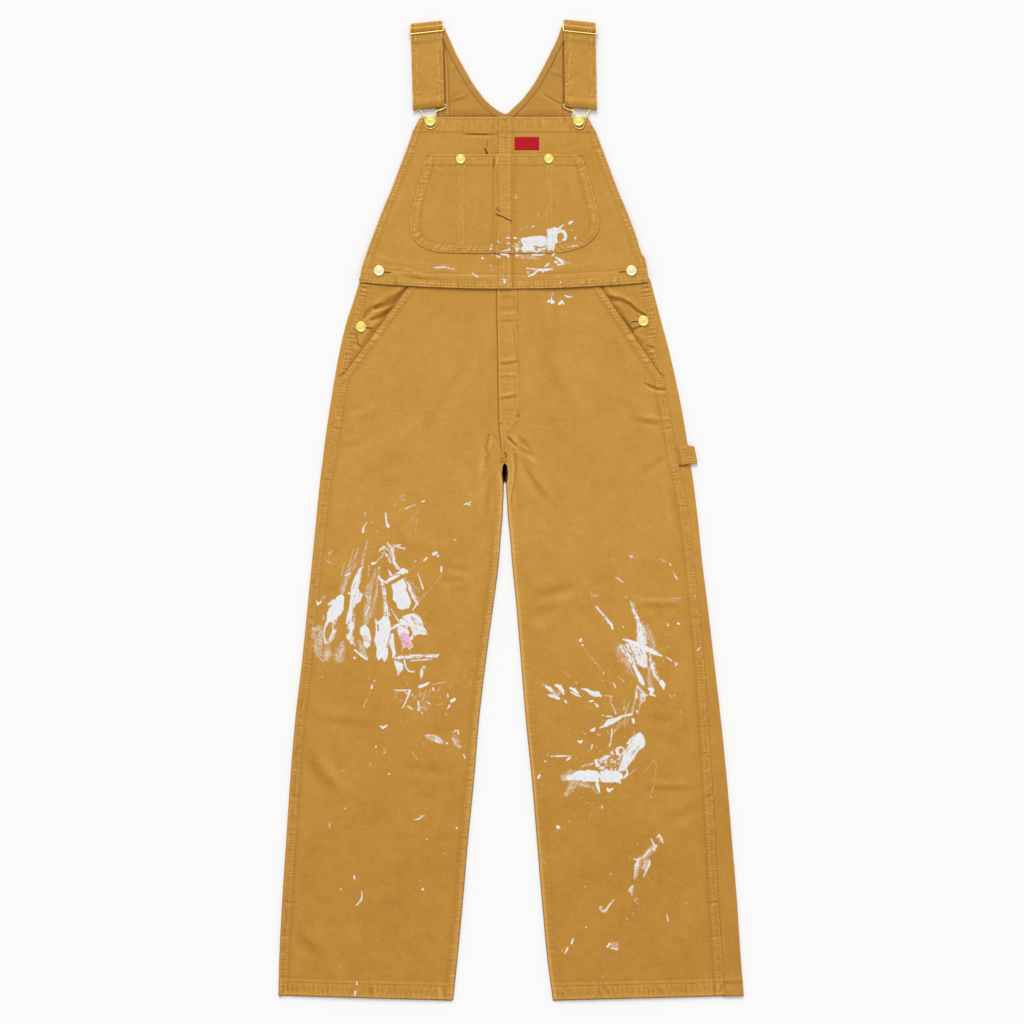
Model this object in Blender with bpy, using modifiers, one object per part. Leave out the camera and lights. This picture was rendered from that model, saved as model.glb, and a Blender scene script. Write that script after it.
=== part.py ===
"""Bib overalls of cotton duck, laid flat on their back with the straps buckled.

Sizes are in millimetres and turned into metres by MM. +X runs to the right
of the garment as it is looked down on, +Y towards the straps, +Z up. The
back lies on the ground plane, and each layer above it is one PLY higher.
Heights in the tables and functions are those of the middle of the cloth.
"""

import math

import bpy
import bmesh
from mathutils import Vector

MM = 0.001
NAME = "spattered_overalls"

# Cloth
CLOTH = 1.2                    # thickness of a cloth wall
GAP = 0.3                      # between pieces that touch
PLY = CLOTH + GAP              # from one layer to the one on it
GROUND = CLOTH / 2             # middle of the layer that lies on the ground
LABEL_THICKNESS = 1.0

# Hardware
BUTTON_DIAMETER = 16.0
STUD_DIAMETER = 14.5
BUTTON_NECK = 5.0
CAP_THICKNESS = 1.6
CAP_LIFT = 1.2                 # from the foot of a button to its cap
BUCKLE_CAP_LIFT = 4.0          # the same on a button that holds a wire loop
BUCKLE_WIRE = 2.8
SLIDER_WIRE = 2.6

# Levels of the body
BIB_EDGE, BIB_CENTRE = 2.1, 3.9          # height of the bib along its top
BIB_CLIMB = 1.8                          # how much it rises to the waist
BIB_TOP, BIB_FOOT = 589.5, 342.0
LEG_EDGE = 3.6                           # height of a leg front at its seams
LEG_CROWN, WAIST_CROWN = 1.2, 0.4         # how much it rises between them
FLAT_POWER = 4                           # crowns are broad, with round sides

# Legs: a row for each section, down the garment
LEG_COLUMNS = ("y", "left_outer", "left_seam", "left_inner",
               "right_inner", "right_seam", "right_outer")
LEGS = (
    (350, -226.5, -222, -20.5, -20.5, 204, 208),
    (285, -246, -237, -20, -20, 218.5, 225),
    (240, -257, -249, -19, -19, 216, 237),
    (196, -265, -255.5, -18.5, -18.5, 228, 247),
    (165, -270, -261, -18, -18, 234, 253.5),
    (105, -279, -270, -15, -15, 244.5, 264),
    (72, -283, -275.5, -10, -10, 250.5, 269),
    (45, -286.5, -280.5, -13.5, -6.5, 256.5, 273),
    (-15, -292.5, -288, -16.5, -2, 267, 280.5),
    (-75, -298.5, -295, -19.5, 1.5, 274, 286.5),
    (-135, -304.5, -301.5, -27, 7.5, 280.5, 294),
    (-225, -313.5, -310.5, -39, 15, 289, 304.5),
    (-315, -324, -321, -49.5, 22.5, 295.5, 315),
    (-405, -331.5, -328.5, -57, 31.5, 301, 324),
    (-495, -337.5, -334.5, -66, 39, 306, 331.5),
    (-585, -343.5, -340.5, -73.5, 46.5, 311, 339),
    (-675, -348, -345, -82.5, 55.5, 316.5, 345),
    (-727.5, -349.3, -346.3, -88.5, 63, 319.5, 349.3),
)
CROTCH = 72
HEM = -727.5
HEM_DROP = 7.5                 # the inner end of a hem is lower by this
HEM_RAMP = 130                 # over this height above it
BACK_TOP = 345                 # the legs' backs end here, at the yoke
FRONT_TOP = 350                # the legs' fronts end here, under the waist
OPENING_FOOT = 196             # the side opening ends here
ROLL_OPEN, ROLL_LEG = 0.75, 1.5          # roll of the back round the side
EDGE_CURL = 5.0                # a front curls down over this width, inside a leg

# Slanted pocket mouths: a point at the waist, a point at the side seam
SLANTS = {
    "left": ((-152, 336), (-255.5, OPENING_FOOT)),
    "right": ((131.5, 337.5), (228, OPENING_FOOT)),
}
FACING_UNDERLAP = 20
FACING_FOOT = 203

# Fly: the right front laps the left
FLY_WIDTH = 31
FLY_UNDERLAP = 9
FLY_START, FLY_TOP, FLY_FOOT = 331, 319, 127

# Soft folds: middle, heading, and size; a trough has a height below zero
FOLD_COLUMNS = ("x", "y", "heading", "length", "width", "height")
FOLDS = (
    (-256, -316, -5, 110, 16, -0.8),
    (-279, -400, -48, 105, 22, 0.8),
    (-123, -387, -7, 125, 18, -0.8),
    (-301, -654, -35, 70, 16, 0.7),
    (70, -125, 10, 110, 16, -0.8),
    (222, -135, 0, 90, 14, 0.7),
    (235, -417, 0, 100, 14, -0.7),
    (253, -457, 25, 80, 18, 0.8),
    (35, 42, -55, 80, 16, -0.7),
)

# Bib: a row for each section; its lower rows hang by sag in the middle
BIB_COLUMNS = ("y", "left", "right", "sag")
BIB = (
    (589.5, -133.5, 111, 0),
    (586.5, -140, 118, 0),
    (579, -144, 123, 0),
    (555, -151.5, 132, 0),
    (519, -165, 145.5, 0),
    (483, -178.5, 159, 0),
    (447, -193.5, 174, 0),
    (411, -207, 187.5, 4),
    (387, -216, 195, 7),
    (369, -221.5, 201, 9.6),
    (342, -224, 205, 10),
)
LAP_LEFT, LAP_RIGHT = -18, -5.5          # the centre seam, right over left
LAP_SLOPE = 4.5
POCKET_ROOM = 1.2              # the pocket's slack over the bib

POCKET_COLUMNS = ("y", "left", "right")
POCKET = (
    (533, -126, 106),
    (501, -135, 116),
    (461, -145.5, 126.5),
    (427, -150.5, 132.5),
    (408, -146, 129.5),
    (396, -132, 117),
    (388, -106, 88),
    (385, -72, 50),
)
STRIP_LEFT = (-81, -68.5)
STRIP_RIGHT = (51.5, 64.5)
STRIP_CENTRE = (-18.5, 1.5)
STRIP_Y = (530, 501, 461, 427, 408, 396, 390)

# Yoke: the high back, its V neck and the roots of the straps
NECK = (
    (-102, 727.5), (-93, 708), (-82.5, 684), (-70.5, 663), (-57, 639),
    (-39, 615), (-25.5, 603), (-7, 592), (3, 603), (16.5, 615),
    (34.5, 639), (48, 663), (58.5, 684), (70.5, 708), (76.5, 727.5),
)
NECK_HEM = 9.0
YOKE_LEFT = ((-147, 721.9), (-142, 690), (-125, 640), (-112, 597), (-112, 575),
             (-135, 530), (-180, 450), (-212, 380), (-228.3, 345.3))
YOKE_RIGHT = ((123, 721.9), (118, 690), (103, 640), (91, 597), (91, 575),
              (114, 530), (160, 450), (191, 380), (208.4, 345.3))

# Straps: middle of the top fold and of the lower one, across and along
STRAP_WIDTH = 47.0
STRAP_TOP = 731.5
STRAP_SKEW = 0.15              # the ends slope down towards the outside
STRAPS = {"left": (-127, -123.5), "right": (103, 105)}
OUTWARD = {"left": -1, "right": 1}
BACK_END = 6.3                 # the yoke meets the strap this far below its fold
BUCKLE_DOWN = 126.6            # from the fold to the bar of the buckle
SLIDER_DOWN = (8.0, 18.5)      # the same to the two bars of the slider

BUTTONS = (
    # name, x, y, diameter, what it stands on
    ("waist_button_left", -198, 358.8, BUTTON_DIAMETER, "bib"),
    ("waist_button_right", 180.6, 358.8, BUTTON_DIAMETER, "bib"),
    ("hip_button_left", -225, 274.8, BUTTON_DIAMETER, "facing"),
    ("hip_button_right", 198.5, 283.7, BUTTON_DIAMETER, "facing"),
    ("pocket_stud_left", -75.5, 522, STUD_DIAMETER, "strip"),
    ("pocket_stud_right", 57.5, 522, STUD_DIAMETER, "strip"),
)
BIB_BUTTONS = {"left": (-121, 583.2), "right": (101.5, 583.2)}
LABEL = (5.5, 42, 540, 559.5)  # left, right, bottom, top
LOOP_Y = (69.5, 96)
LOOP_START, LOOP_REACH = 241.5, 277.5
LOOP_END = 271.5

DUCK = (0.62, 0.35, 0.09)
DUCK_INSIDE = (0.55, 0.31, 0.09)
BRASS = (0.78, 0.60, 0.22)
RED = (0.60, 0.02, 0.03)


# --- Small sums -----------------------------------------------------------

def column(table, columns, name, y):
    """Value of a named column at height y, straight between the rows."""
    at = columns.index(name)
    for upper, lower in zip(table, table[1:]):
        if y >= lower[0]:
            break
    share = (upper[0] - y) / (upper[0] - lower[0])
    share = min(max(share, 0.0), 1.0)
    return upper[at] + (lower[at] - upper[at]) * share


def leg(name, y):
    return column(LEGS, LEG_COLUMNS, name, y)


def ramp(value, start, end):
    """0 at start and 1 at end, with soft ends."""
    share = min(max((value - start) / (end - start), 0.0), 1.0)
    return share * share * (3 - 2 * share)


def crown(x, low, high):
    """1 in the middle of a span, falling to 0 at both of its ends."""
    share = (2 * x - low - high) / (high - low)
    return 1 - min(abs(share), 1.0) ** FLAT_POWER


def fold_height(x, y):
    """Height of all the soft folds at a point."""
    total = 0.0
    for middle_x, middle_y, heading, length, width, height in FOLDS:
        angle = math.radians(heading)
        along = (x - middle_x) * math.cos(angle) + (y - middle_y) * math.sin(angle)
        across = (y - middle_y) * math.cos(angle) - (x - middle_x) * math.sin(angle)
        total += height * math.exp(-(across / width) ** 2 - (2 * along / length) ** 4)
    return total


def slant(side, y):
    """The mouth of a slanted pocket at height y."""
    (x0, y0), (x1, y1) = SLANTS[side]
    return x0 + (x1 - x0) * (y0 - y) / (y0 - y1)


def front_outer(side, y):
    """Outer edge of a leg's front: the pocket mouth, then the side seam."""
    if y > OPENING_FOOT:
        return slant(side, y)
    return leg(side + "_seam", y)


def hem_drop(side, x, y):
    """How far a row hangs below its height, towards the inside of the leg."""
    outer = leg(side + "_outer", y)
    inner = leg(side + "_inner", y)
    share = min(max((x - outer) / (inner - outer), 0.0), 1.0)
    return HEM_DROP * share * ramp(y, HEM + HEM_RAMP, HEM)


# --- Surfaces -------------------------------------------------------------

def front_height(side, x, y):
    """Height of a leg's front before it curls down at its inner edge."""
    outer = front_outer(side, y)
    inner = leg(side + "_inner", y)
    crowned = crown(x, min(outer, inner), max(outer, inner))
    rise = WAIST_CROWN + (LEG_CROWN - WAIST_CROWN) * ramp(y, 310, 180)
    return LEG_EDGE + (rise + fold_height(x, y)) * crowned


def fly_lift(y):
    """How much the lapping front is raised at the fly."""
    return PLY * ramp(y, FLY_START, FLY_TOP) * ramp(y, 102, FLY_FOOT - 10)


def bib_height(x, y):
    """Height of the bib, without the lap of its centre seam."""
    low = column(BIB, BIB_COLUMNS, "left", y)
    high = column(BIB, BIB_COLUMNS, "right", y)
    climb = BIB_CLIMB * min(max((BIB_TOP - y) / (BIB_TOP - BIB_FOOT), 0.0), 1.0)
    return BIB_EDGE + climb + (BIB_CENTRE - BIB_EDGE) * crown(x, low, high)


def over_bib(x, y):
    """Height of the bib's upper skin, with the lap of its centre seam."""
    up = (x - LAP_LEFT + LAP_SLOPE) / LAP_SLOPE
    down = (LAP_RIGHT + GAP + LAP_SLOPE - x) / LAP_SLOPE
    return bib_height(x, y) + PLY * min(max(min(up, down), 0.0), 1.0)


def pocket_height(x, y):
    low = column(POCKET, POCKET_COLUMNS, "left", y)
    high = column(POCKET, POCKET_COLUMNS, "right", y)
    lower = ramp(y, POCKET[-1][0], POCKET[-1][0] + 40)
    return over_bib(x, y) + PLY + POCKET_ROOM * crown(x, low, high) * lower


# --- Making solids --------------------------------------------------------

def material(name, colour, roughness, metallic=0.0):
    """A Principled material."""
    made = bpy.data.materials.new(name)
    made.use_nodes = True
    shader = made.node_tree.nodes["Principled BSDF"]
    shader.inputs["Base Color"].default_value = (*colour, 1.0)
    shader.inputs["Roughness"].default_value = roughness
    shader.inputs["Metallic"].default_value = metallic
    return made


def link(name, data, colour, metallic=0.0):
    """Put data in the scene as one object with its own material."""
    obj = bpy.data.objects.new(name, data)
    bpy.data.collections[NAME].objects.link(obj)
    roughness = 0.3 if metallic else 0.9
    obj.data.materials.append(material(name, colour, roughness, metallic))
    return obj


def sheet(name, rows, across, place, colour=DUCK, thickness=CLOTH):
    """A cloth wall about the grid of points place(row, step across)."""
    mesh = bpy.data.meshes.new(name)
    grid = bmesh.new()
    bmesh.ops.create_grid(grid, x_segments=across - 1, y_segments=rows - 1, size=0.5)
    for number, vert in enumerate(grid.verts):
        vert.co = Vector(place(number // across, number % across)) * MM
    grid.to_mesh(mesh)
    grid.free()
    obj = link(name, mesh, colour)
    wall = obj.modifiers.new("wall", "SOLIDIFY")
    wall.thickness = thickness * MM
    wall.offset = 0
    wall.use_even_offset = True
    return obj


def outline_plate(name, points, thickness, colour):
    """A flat piece of cloth cut to an outline, lying on the ground."""
    data = bpy.data.curves.new(name, "CURVE")
    data.dimensions = "2D"
    data.fill_mode = "BOTH"
    data.extrude = thickness / 2 * MM
    spline = data.splines.new("POLY")
    spline.points.add(len(points) - 1)
    for point, (x, y) in zip(spline.points, points):
        point.co = (x * MM, y * MM, 0.0, 1.0)
    spline.use_cyclic_u = True
    obj = link(name, data, colour)
    obj.location.z = thickness / 2 * MM
    return obj


def wire(name, points, diameter):
    """A closed ring of round wire through the points."""
    data = bpy.data.curves.new(name, "CURVE")
    data.dimensions = "3D"
    data.bevel_depth = diameter / 2 * MM
    data.bevel_resolution = 2
    spline = data.splines.new("POLY")
    spline.points.add(len(points) - 1)
    for point, place in zip(spline.points, points):
        point.co = (*(value * MM for value in place), 1.0)
    spline.use_cyclic_u = True
    return link(name, data, BRASS, metallic=1.0)


def turned(name, x, y, foot, profile):
    """A round piece on an upright axis: profile of (radius, height)."""
    mesh = bpy.data.meshes.new(name)
    outline = bmesh.new()
    verts = [outline.verts.new((r * MM, 0.0, z * MM)) for r, z in profile]
    for pair in zip(verts, verts[1:]):
        outline.edges.new(pair)
    outline.to_mesh(mesh)
    outline.free()
    mesh.shade_smooth()
    obj = link(name, mesh, BRASS, metallic=1.0)
    obj.location = (x * MM, y * MM, foot * MM)
    screw = obj.modifiers.new("turn", "SCREW")
    screw.steps = 20
    screw.render_steps = 20
    screw.use_merge_vertices = True
    screw.merge_threshold = 1e-6
    screw.use_smooth_shade = True
    return obj


def button(name, x, y, foot, diameter, lift):
    """A tack button: a neck, and a cap with a rolled rim and a low dome."""
    radius = diameter / 2
    top = lift + CAP_THICKNESS
    profile = (
        (0, top - 0.2), (radius * 0.62, top - 0.3), (radius * 0.8, top),
        (radius * 0.94, top - 0.3), (radius, top - 0.9), (radius * 0.94, lift),
        (BUTTON_NECK / 2, lift), (BUTTON_NECK / 2, 0), (0, 0),
    )
    return turned(name, x, y, foot, profile)


# --- The pieces -----------------------------------------------------------

def leg_rows(top):
    """Heights of a leg's sections from top to hem."""
    return [top] + [row[0] for row in LEGS if row[0] < top - 1]


def leg_back(side):
    """A leg's back, which rolls over the side and ends at the side seam."""
    out = OUTWARD[side]
    rows = leg_rows(BACK_TOP)
    turns = 4

    def place(row, step):
        y = rows[row]
        radius = ROLL_LEG if y < OPENING_FOOT - 15 else ROLL_OPEN
        inner = leg(side + "_inner", y)
        if y >= CROTCH:
            inner += out * GAP / 2
        seam = leg(side + "_seam", y)
        heel = leg(side + "_outer", y) - out * (radius + CLOTH / 2 + 0.05)
        if step < 2:
            x, z = inner + (heel - inner) * step / 2, GROUND
        elif step <= 2 + turns:
            angle = math.pi * (step - 2) / turns
            x = heel + out * radius * math.sin(angle)
            z = GROUND + radius * (1 - math.cos(angle))
        else:
            x, z = seam, GROUND + 2 * radius
        return x, y - hem_drop(side, x, y), z

    return sheet("back_leg_" + side, len(rows), 4 + turns, place, DUCK_INSIDE)


def front_rows():
    """Heights of a leg front's sections, closer together round the fly."""
    extra = {FLY_START, FLY_TOP, FLY_TOP - 4, 255, 215, FLY_FOOT, FLY_FOOT - 7, 102}
    extra |= {y for y in range(-105, -720, -30)}
    rows = {FRONT_TOP} | extra | {row[0] for row in LEGS[1:]}
    return sorted(rows, reverse=True)


def front_steps(side, y):
    """Places across a leg front, from its outer edge to its inner one."""
    out = OUTWARD[side]
    start = front_outer(side, y) - out * GAP
    end = leg(side + "_inner", y)
    lapped = FLY_FOOT <= y <= FLY_TOP - 4
    if side == "left":
        end += FLY_UNDERLAP if lapped else -GAP / 2
        inner = [end - EDGE_CURL, end - 1.5, end]
    elif y >= CROTCH:
        end += GAP / 2
        inner = [end + FLY_WIDTH + 5, end + FLY_WIDTH, end]
    else:
        inner = [end + EDGE_CURL, end + 1.5, end]
    count = 7
    broad = [start + (inner[0] - start) * step / count for step in range(count)]
    return broad + inner


def leg_front(side):
    """A leg's front, from the waist seam to the hem."""
    rows = front_rows()

    def place(row, step):
        y = rows[row]
        steps = front_steps(side, y)
        x = steps[step]
        z = front_height(side, x, y)
        from_end = len(steps) - 1 - step
        if side == "right" and from_end < 2:
            z += fly_lift(y)
        if y < CROTCH and from_end < 2:
            curl = ramp(y, CROTCH, CROTCH - 40)
            z -= curl * (0.6 if from_end else 1.2)
        return x, y - hem_drop(side, x, y), z

    return sheet("front_leg_" + side, len(rows), 10, place)


def pocket_facing(side):
    """What shows in the pocket's mouth, from the side opening inwards."""
    out = OUTWARD[side]
    rows = (FRONT_TOP, 320, 285, 262, 240, 220, FACING_FOOT)

    def place(row, step):
        y = rows[row]
        start = leg(side + "_seam", y) - out * GAP
        end = slant(side, y) - out * FACING_UNDERLAP
        x = start + (end - start) * step / 4
        return x, y, GROUND + PLY

    return sheet("pocket_facing_" + side, len(rows), 5, place, DUCK_INSIDE)


def bib_half(side):
    """Half of the bib, down to the lower edge of the waist."""

    def place(row, step):
        y, left, right, sag = BIB[row]
        if side == "left":
            steps = (0, 0.12, 0.34, 0.6, 0.85, 1)
            x = left + (LAP_RIGHT - left) * steps[step]
        elif step < 2:
            x = (LAP_LEFT, LAP_RIGHT + GAP)[step]
        else:
            start = LAP_RIGHT + GAP + LAP_SLOPE
            x = start + (right - start) * (0, 0.2, 0.45, 0.7, 0.88, 1)[step - 2]
        middle = (left + right) / 2
        share = (x - middle) / (right - middle)
        hung = y - sag * (1 - share ** 2)
        z = bib_height(x, hung)
        if side == "right" and step < 2:
            z += PLY
        return x, hung, z

    return sheet("bib_" + side, len(BIB), 6 if side == "left" else 8, place)


def bib_pocket():
    """The wide pocket with round lower corners."""
    lap = (LAP_LEFT - LAP_SLOPE, LAP_LEFT, LAP_RIGHT + GAP, LAP_RIGHT + GAP + LAP_SLOPE)

    def place(row, step):
        y, left, right = POCKET[row]
        if step < 4:
            x = left + (lap[0] - left) * (0, 0.15, 0.4, 0.7)[step]
        elif step < 8:
            x = lap[step - 4]
        else:
            x = right + (lap[3] - right) * (0.7, 0.4, 0.15, 0)[step - 8]
        return x, y, pocket_height(x, y)

    return sheet("bib_pocket", len(POCKET), 12, place)


def pocket_strip(name, left, right, steps):
    """A narrow strip sewn down over the pocket."""

    def place(row, step):
        y = STRIP_Y[row]
        x = left + (right - left) * steps[step]
        return x, y, pocket_height(x, y) + PLY

    return sheet(name, len(STRIP_Y), len(steps), place)


def yoke():
    """The high back with its V neck, flat on the ground."""
    points = list(YOKE_LEFT) + list(reversed(YOKE_RIGHT))
    points += list(reversed(NECK))
    return outline_plate("back_yoke", points, CLOTH, DUCK_INSIDE)


def neck_hem():
    """The turned hem along the V neck, on the yoke."""
    points = [Vector(point) for point in NECK]
    last = len(points) - 1

    def place(row, step):
        before = points[max(row - 1, 0)]
        after = points[min(row + 1, last)]
        run = (after - before).normalized()
        outward = Vector((run.y, -run.x))
        middle = STRAPS["left" if row < last / 2 else "right"][0]
        room = abs(points[row].x - middle) - STRAP_WIDTH / 2 - 2 * GAP
        x, y = points[row] + outward * (min(NECK_HEM, room) * (1 - step))
        return x, y, GROUND + PLY

    return sheet("neck_hem", len(points), 2, place)


def strap_point(side, across, down, z):
    """From strap coordinates (across to the outside, down the strap) to x, y, z."""
    top, foot = STRAPS[side]
    middle = top + (foot - top) * down / BUCKLE_DOWN
    return (middle + OUTWARD[side] * across,
            STRAP_TOP - down - STRAP_SKEW * across, z)


def arc(down, z, radius, start, end, parts):
    """Points of an arc in the side view of a strap, angles from straight up."""
    points = []
    for part in range(parts + 1):
        angle = math.radians(start + (end - start) * part / parts)
        points.append((down + radius * math.sin(angle), z + radius * math.cos(angle)))
    return points


def strap_path():
    """Side view of a strap: over the shoulder, round the buckle, up to the slider."""
    fold = PLY / 2
    low, mid, high = GROUND + PLY, GROUND + 2 * PLY, GROUND + 3 * PLY
    bar = BUCKLE_WIRE / 2 + GAP + CLOTH / 2
    bow = SLIDER_WIRE / 2 + GAP + CLOTH / 2
    path = [(BACK_END - GAP, GROUND)]
    path += arc(fold + CLOTH / 2, GROUND + fold, fold, 180, 360, 4)
    path += [(BUCKLE_DOWN / 2, low)]
    path += arc(BUCKLE_DOWN, low + bar, bar, 180, 0, 5)
    path += [(BUCKLE_DOWN - 7, low + 1.4 * bar), (BUCKLE_DOWN - 15, mid)]
    path += [(70, mid), (31, mid), (25, high), (15.5, high)]
    path += arc(SLIDER_DOWN[0], mid + bow, bow, 40, -180, 6)
    path += [(20, mid)]
    return path


def strap(side):
    """A strap, 47 mm wide, from the shoulder fold to its sewn end."""
    path = strap_path()

    def place(row, step):
        down, z = path[row]
        return strap_point(side, STRAP_WIDTH * (step / 2 - 0.5), down, z)

    return sheet("strap_" + side, len(path), 3, place)


def slider(side):
    """The wire frame that sets a strap's length."""
    half = STRAP_WIDTH / 2 + 2.0
    upper, lower = SLIDER_DOWN
    upper_z = GROUND + 2 * PLY + SLIDER_WIRE / 2 + GAP + CLOTH / 2
    lower_z = GROUND + 3 * PLY + SLIDER_WIRE / 2 + GAP + CLOTH / 2
    quarter = ((half - 1.5, upper, upper_z), (half, upper + 1.5, upper_z),
               (half, lower - 1.5, lower_z), (half - 1.5, lower, lower_z))
    points = [strap_point(side, *place) for place in quarter]
    points += [strap_point(side, -across, down, z) for across, down, z in reversed(quarter)]
    return wire("slider_" + side, points, SLIDER_WIRE)


def buckle(side):
    """The wire loop that hooks a strap to the button of the bib."""
    bar_z = GROUND + PLY + BUCKLE_WIRE / 2 + GAP + CLOTH / 2
    loop_z = 5.7
    reach = STRAP_WIDTH / 2 + 2.4
    half = (
        (reach - 1, BUCKLE_DOWN, bar_z), (reach, BUCKLE_DOWN + 2.9, bar_z),
        (24.2, 132, bar_z), (19, 133, bar_z), (13, 133.2, bar_z),
        (10.6, 135.4, bar_z + 0.5), (10.8, 140, loop_z), (9.5, 145, loop_z),
        (8.6, 150, loop_z), (7.5, 155, loop_z), (4.4, 158.7, loop_z),
    )
    top, foot = STRAPS[side]
    aside = (BIB_BUTTONS[side][0] - foot) * OUTWARD[side]

    def lean(across, down):
        return across + aside * ramp(down, 132, 150)

    points = [strap_point(side, lean(a, d), d, z) for a, d, z in half]
    points += [strap_point(side, lean(0, 160), 160, loop_z)]
    points += [strap_point(side, lean(-a, d), d, z) for a, d, z in reversed(half)]
    return wire("buckle_" + side, points, BUCKLE_WIRE)


def hammer_loop():
    """A band sewn across the right side seam that bows out past the leg."""
    bend = (PLY * 3) / 2
    turn_x = LOOP_REACH - CLOTH / 2 - bend
    path = [(LOOP_START, GROUND + 3 * PLY + 0.5), (252, GROUND + 3 * PLY + 0.2),
            (262, GROUND + 3 * PLY)]
    for part in range(5):
        angle = math.pi * part / 4
        path.append((turn_x + bend * math.sin(angle),
                     GROUND + bend * (1 + math.cos(angle))))
    path.append((LOOP_END, GROUND))

    def place(row, step):
        x, z = path[row]
        y = LOOP_Y[0] + (LOOP_Y[1] - LOOP_Y[0]) * step / 2
        return x, y, z

    return sheet("hammer_loop", len(path), 3, place)


def label():
    """The small woven label on the bib, left bare."""
    left, right, bottom, top = LABEL

    def place(row, step):
        x = left + (right - left) * step / 3
        y = bottom + (top - bottom) * row
        lift = (CLOTH + LABEL_THICKNESS) / 2 + GAP
        return x, y, over_bib(x, y) + lift

    return sheet("label", 2, 4, place, RED, LABEL_THICKNESS)


def standing(where, x, y):
    """Height of the cloth's upper face that a button stands on."""
    middle = {
        "bib": over_bib(x, y),
        "facing": GROUND + PLY,
        "strip": pocket_height(x, y) + PLY,
    }[where]
    return middle + CLOTH / 2 + GAP


def main():
    for old in list(bpy.data.objects):
        bpy.data.objects.remove(old, do_unlink=True)
    collection = bpy.data.collections.new(NAME)
    bpy.context.scene.collection.children.link(collection)
    yoke()
    neck_hem()
    for side in ("left", "right"):
        leg_back(side)
        leg_front(side)
        pocket_facing(side)
        bib_half(side)
        strap(side)
        slider(side)
        buckle(side)
        x, y = BIB_BUTTONS[side]
        foot = standing("bib", x, y) + 0.2
        button("bib_button_" + side, x, y, foot, BUTTON_DIAMETER, BUCKLE_CAP_LIFT)
    bib_pocket()
    sides = (0, 0.5, 1)
    pocket_strip("pocket_strip_left", *STRIP_LEFT, sides)
    pocket_strip("pocket_strip_right", *STRIP_RIGHT, sides)
    slope = (LAP_RIGHT + GAP - STRIP_CENTRE[0]) / (STRIP_CENTRE[1] - STRIP_CENTRE[0])
    pocket_strip("pocket_strip_centre", *STRIP_CENTRE, (0, slope, 1))
    hammer_loop()
    label()
    for name, x, y, diameter, where in BUTTONS:
        button(name, x, y, standing(where, x, y), diameter, CAP_LIFT)


main()
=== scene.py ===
"""Looks of the paint spattered bib overalls, laid flat and seen from above.

Lengths are in millimetres in the garment's own frame (+X to the right, +Y to
the straps, +Z up) and become metres when a mesh is made. Heights are those
of the upper face of the cloth.
"""

import math

import bpy
import numpy as np
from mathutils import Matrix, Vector
from mathutils.bvhtree import BVHTree


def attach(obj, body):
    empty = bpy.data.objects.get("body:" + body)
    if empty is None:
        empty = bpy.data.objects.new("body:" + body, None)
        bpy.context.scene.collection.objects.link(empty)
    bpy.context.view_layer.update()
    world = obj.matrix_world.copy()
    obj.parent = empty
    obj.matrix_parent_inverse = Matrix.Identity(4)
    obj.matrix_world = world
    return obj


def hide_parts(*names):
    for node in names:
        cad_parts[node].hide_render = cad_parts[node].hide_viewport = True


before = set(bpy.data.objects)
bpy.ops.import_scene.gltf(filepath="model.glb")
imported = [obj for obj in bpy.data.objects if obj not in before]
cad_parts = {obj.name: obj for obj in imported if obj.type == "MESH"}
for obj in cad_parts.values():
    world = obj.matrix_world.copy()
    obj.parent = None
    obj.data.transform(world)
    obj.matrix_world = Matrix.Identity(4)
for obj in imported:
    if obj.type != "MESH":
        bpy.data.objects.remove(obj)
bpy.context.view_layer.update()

MM = 0.001
SIDES = ("left", "right")
OUT = {"left": -1.0, "right": 1.0}

# Cloth
CLOTH = 1.2
GAP = 0.3
PLY = CLOTH + GAP
GROUND_MIDDLE = CLOTH / 2          # middle and upper face of the layer on the ground
GROUND_TOP = CLOTH
SECOND_TOP = GROUND_TOP + PLY
THIRD_TOP = GROUND_TOP + 2 * PLY
FOLDED_WALL = 1.25                 # thickness of cloth that folds over
FOLD_RADIUS = 0.75                 # of the strap's fold over the shoulder
RIM = 1.1                          # depth of the edge that shows
RIM_OUT, RIM_BACK = 0.22, 0.12     # how far the rounded edge goes out and back in
RIM_SHOULDER = 0.3                 # depth of its upper round
LATTICE = 256                      # size of the noise's grid
FAR_OFF, THINNEST = 9.0, 0.3       # limits of the soft lines, in half widths and mm

# --- Tables of the cut, as in the solids ----------------------------------

LEGS = np.array((
    # y, left: outer, seam, inner, right: inner, seam, outer
    (350, -226.5, -222, -20.5, -20.5, 204, 208),
    (285, -246, -237, -20, -20, 218.5, 225),
    (240, -257, -249, -19, -19, 216, 237),
    (196, -265, -255.5, -18.5, -18.5, 228, 247),
    (165, -270, -261, -18, -18, 234, 253.5),
    (105, -279, -270, -15, -15, 244.5, 264),
    (72, -283, -275.5, -10, -10, 250.5, 269),
    (45, -286.5, -280.5, -13.5, -6.5, 256.5, 273),
    (-15, -292.5, -288, -16.5, -2, 267, 280.5),
    (-75, -298.5, -295, -19.5, 1.5, 274, 286.5),
    (-135, -304.5, -301.5, -27, 7.5, 280.5, 294),
    (-225, -313.5, -310.5, -39, 15, 289, 304.5),
    (-315, -324, -321, -49.5, 22.5, 295.5, 315),
    (-405, -331.5, -328.5, -57, 31.5, 301, 324),
    (-495, -337.5, -334.5, -66, 39, 306, 331.5),
    (-585, -343.5, -340.5, -73.5, 46.5, 311, 339),
    (-675, -348, -345, -82.5, 55.5, 316.5, 345),
    (-727.5, -349.3, -346.3, -88.5, 63, 319.5, 349.3),
), float)
LEG_AT = {"left": {"outer": 1, "seam": 2, "inner": 3},
          "right": {"inner": 4, "seam": 5, "outer": 6}}
CROTCH, HEM, HEM_DROP, HEM_RAMP = 72.0, -727.5, 7.5, 130.0
FRONT_TOP, BACK_TOP, OPENING_FOOT = 350.0, 345.0, 196.0
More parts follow.
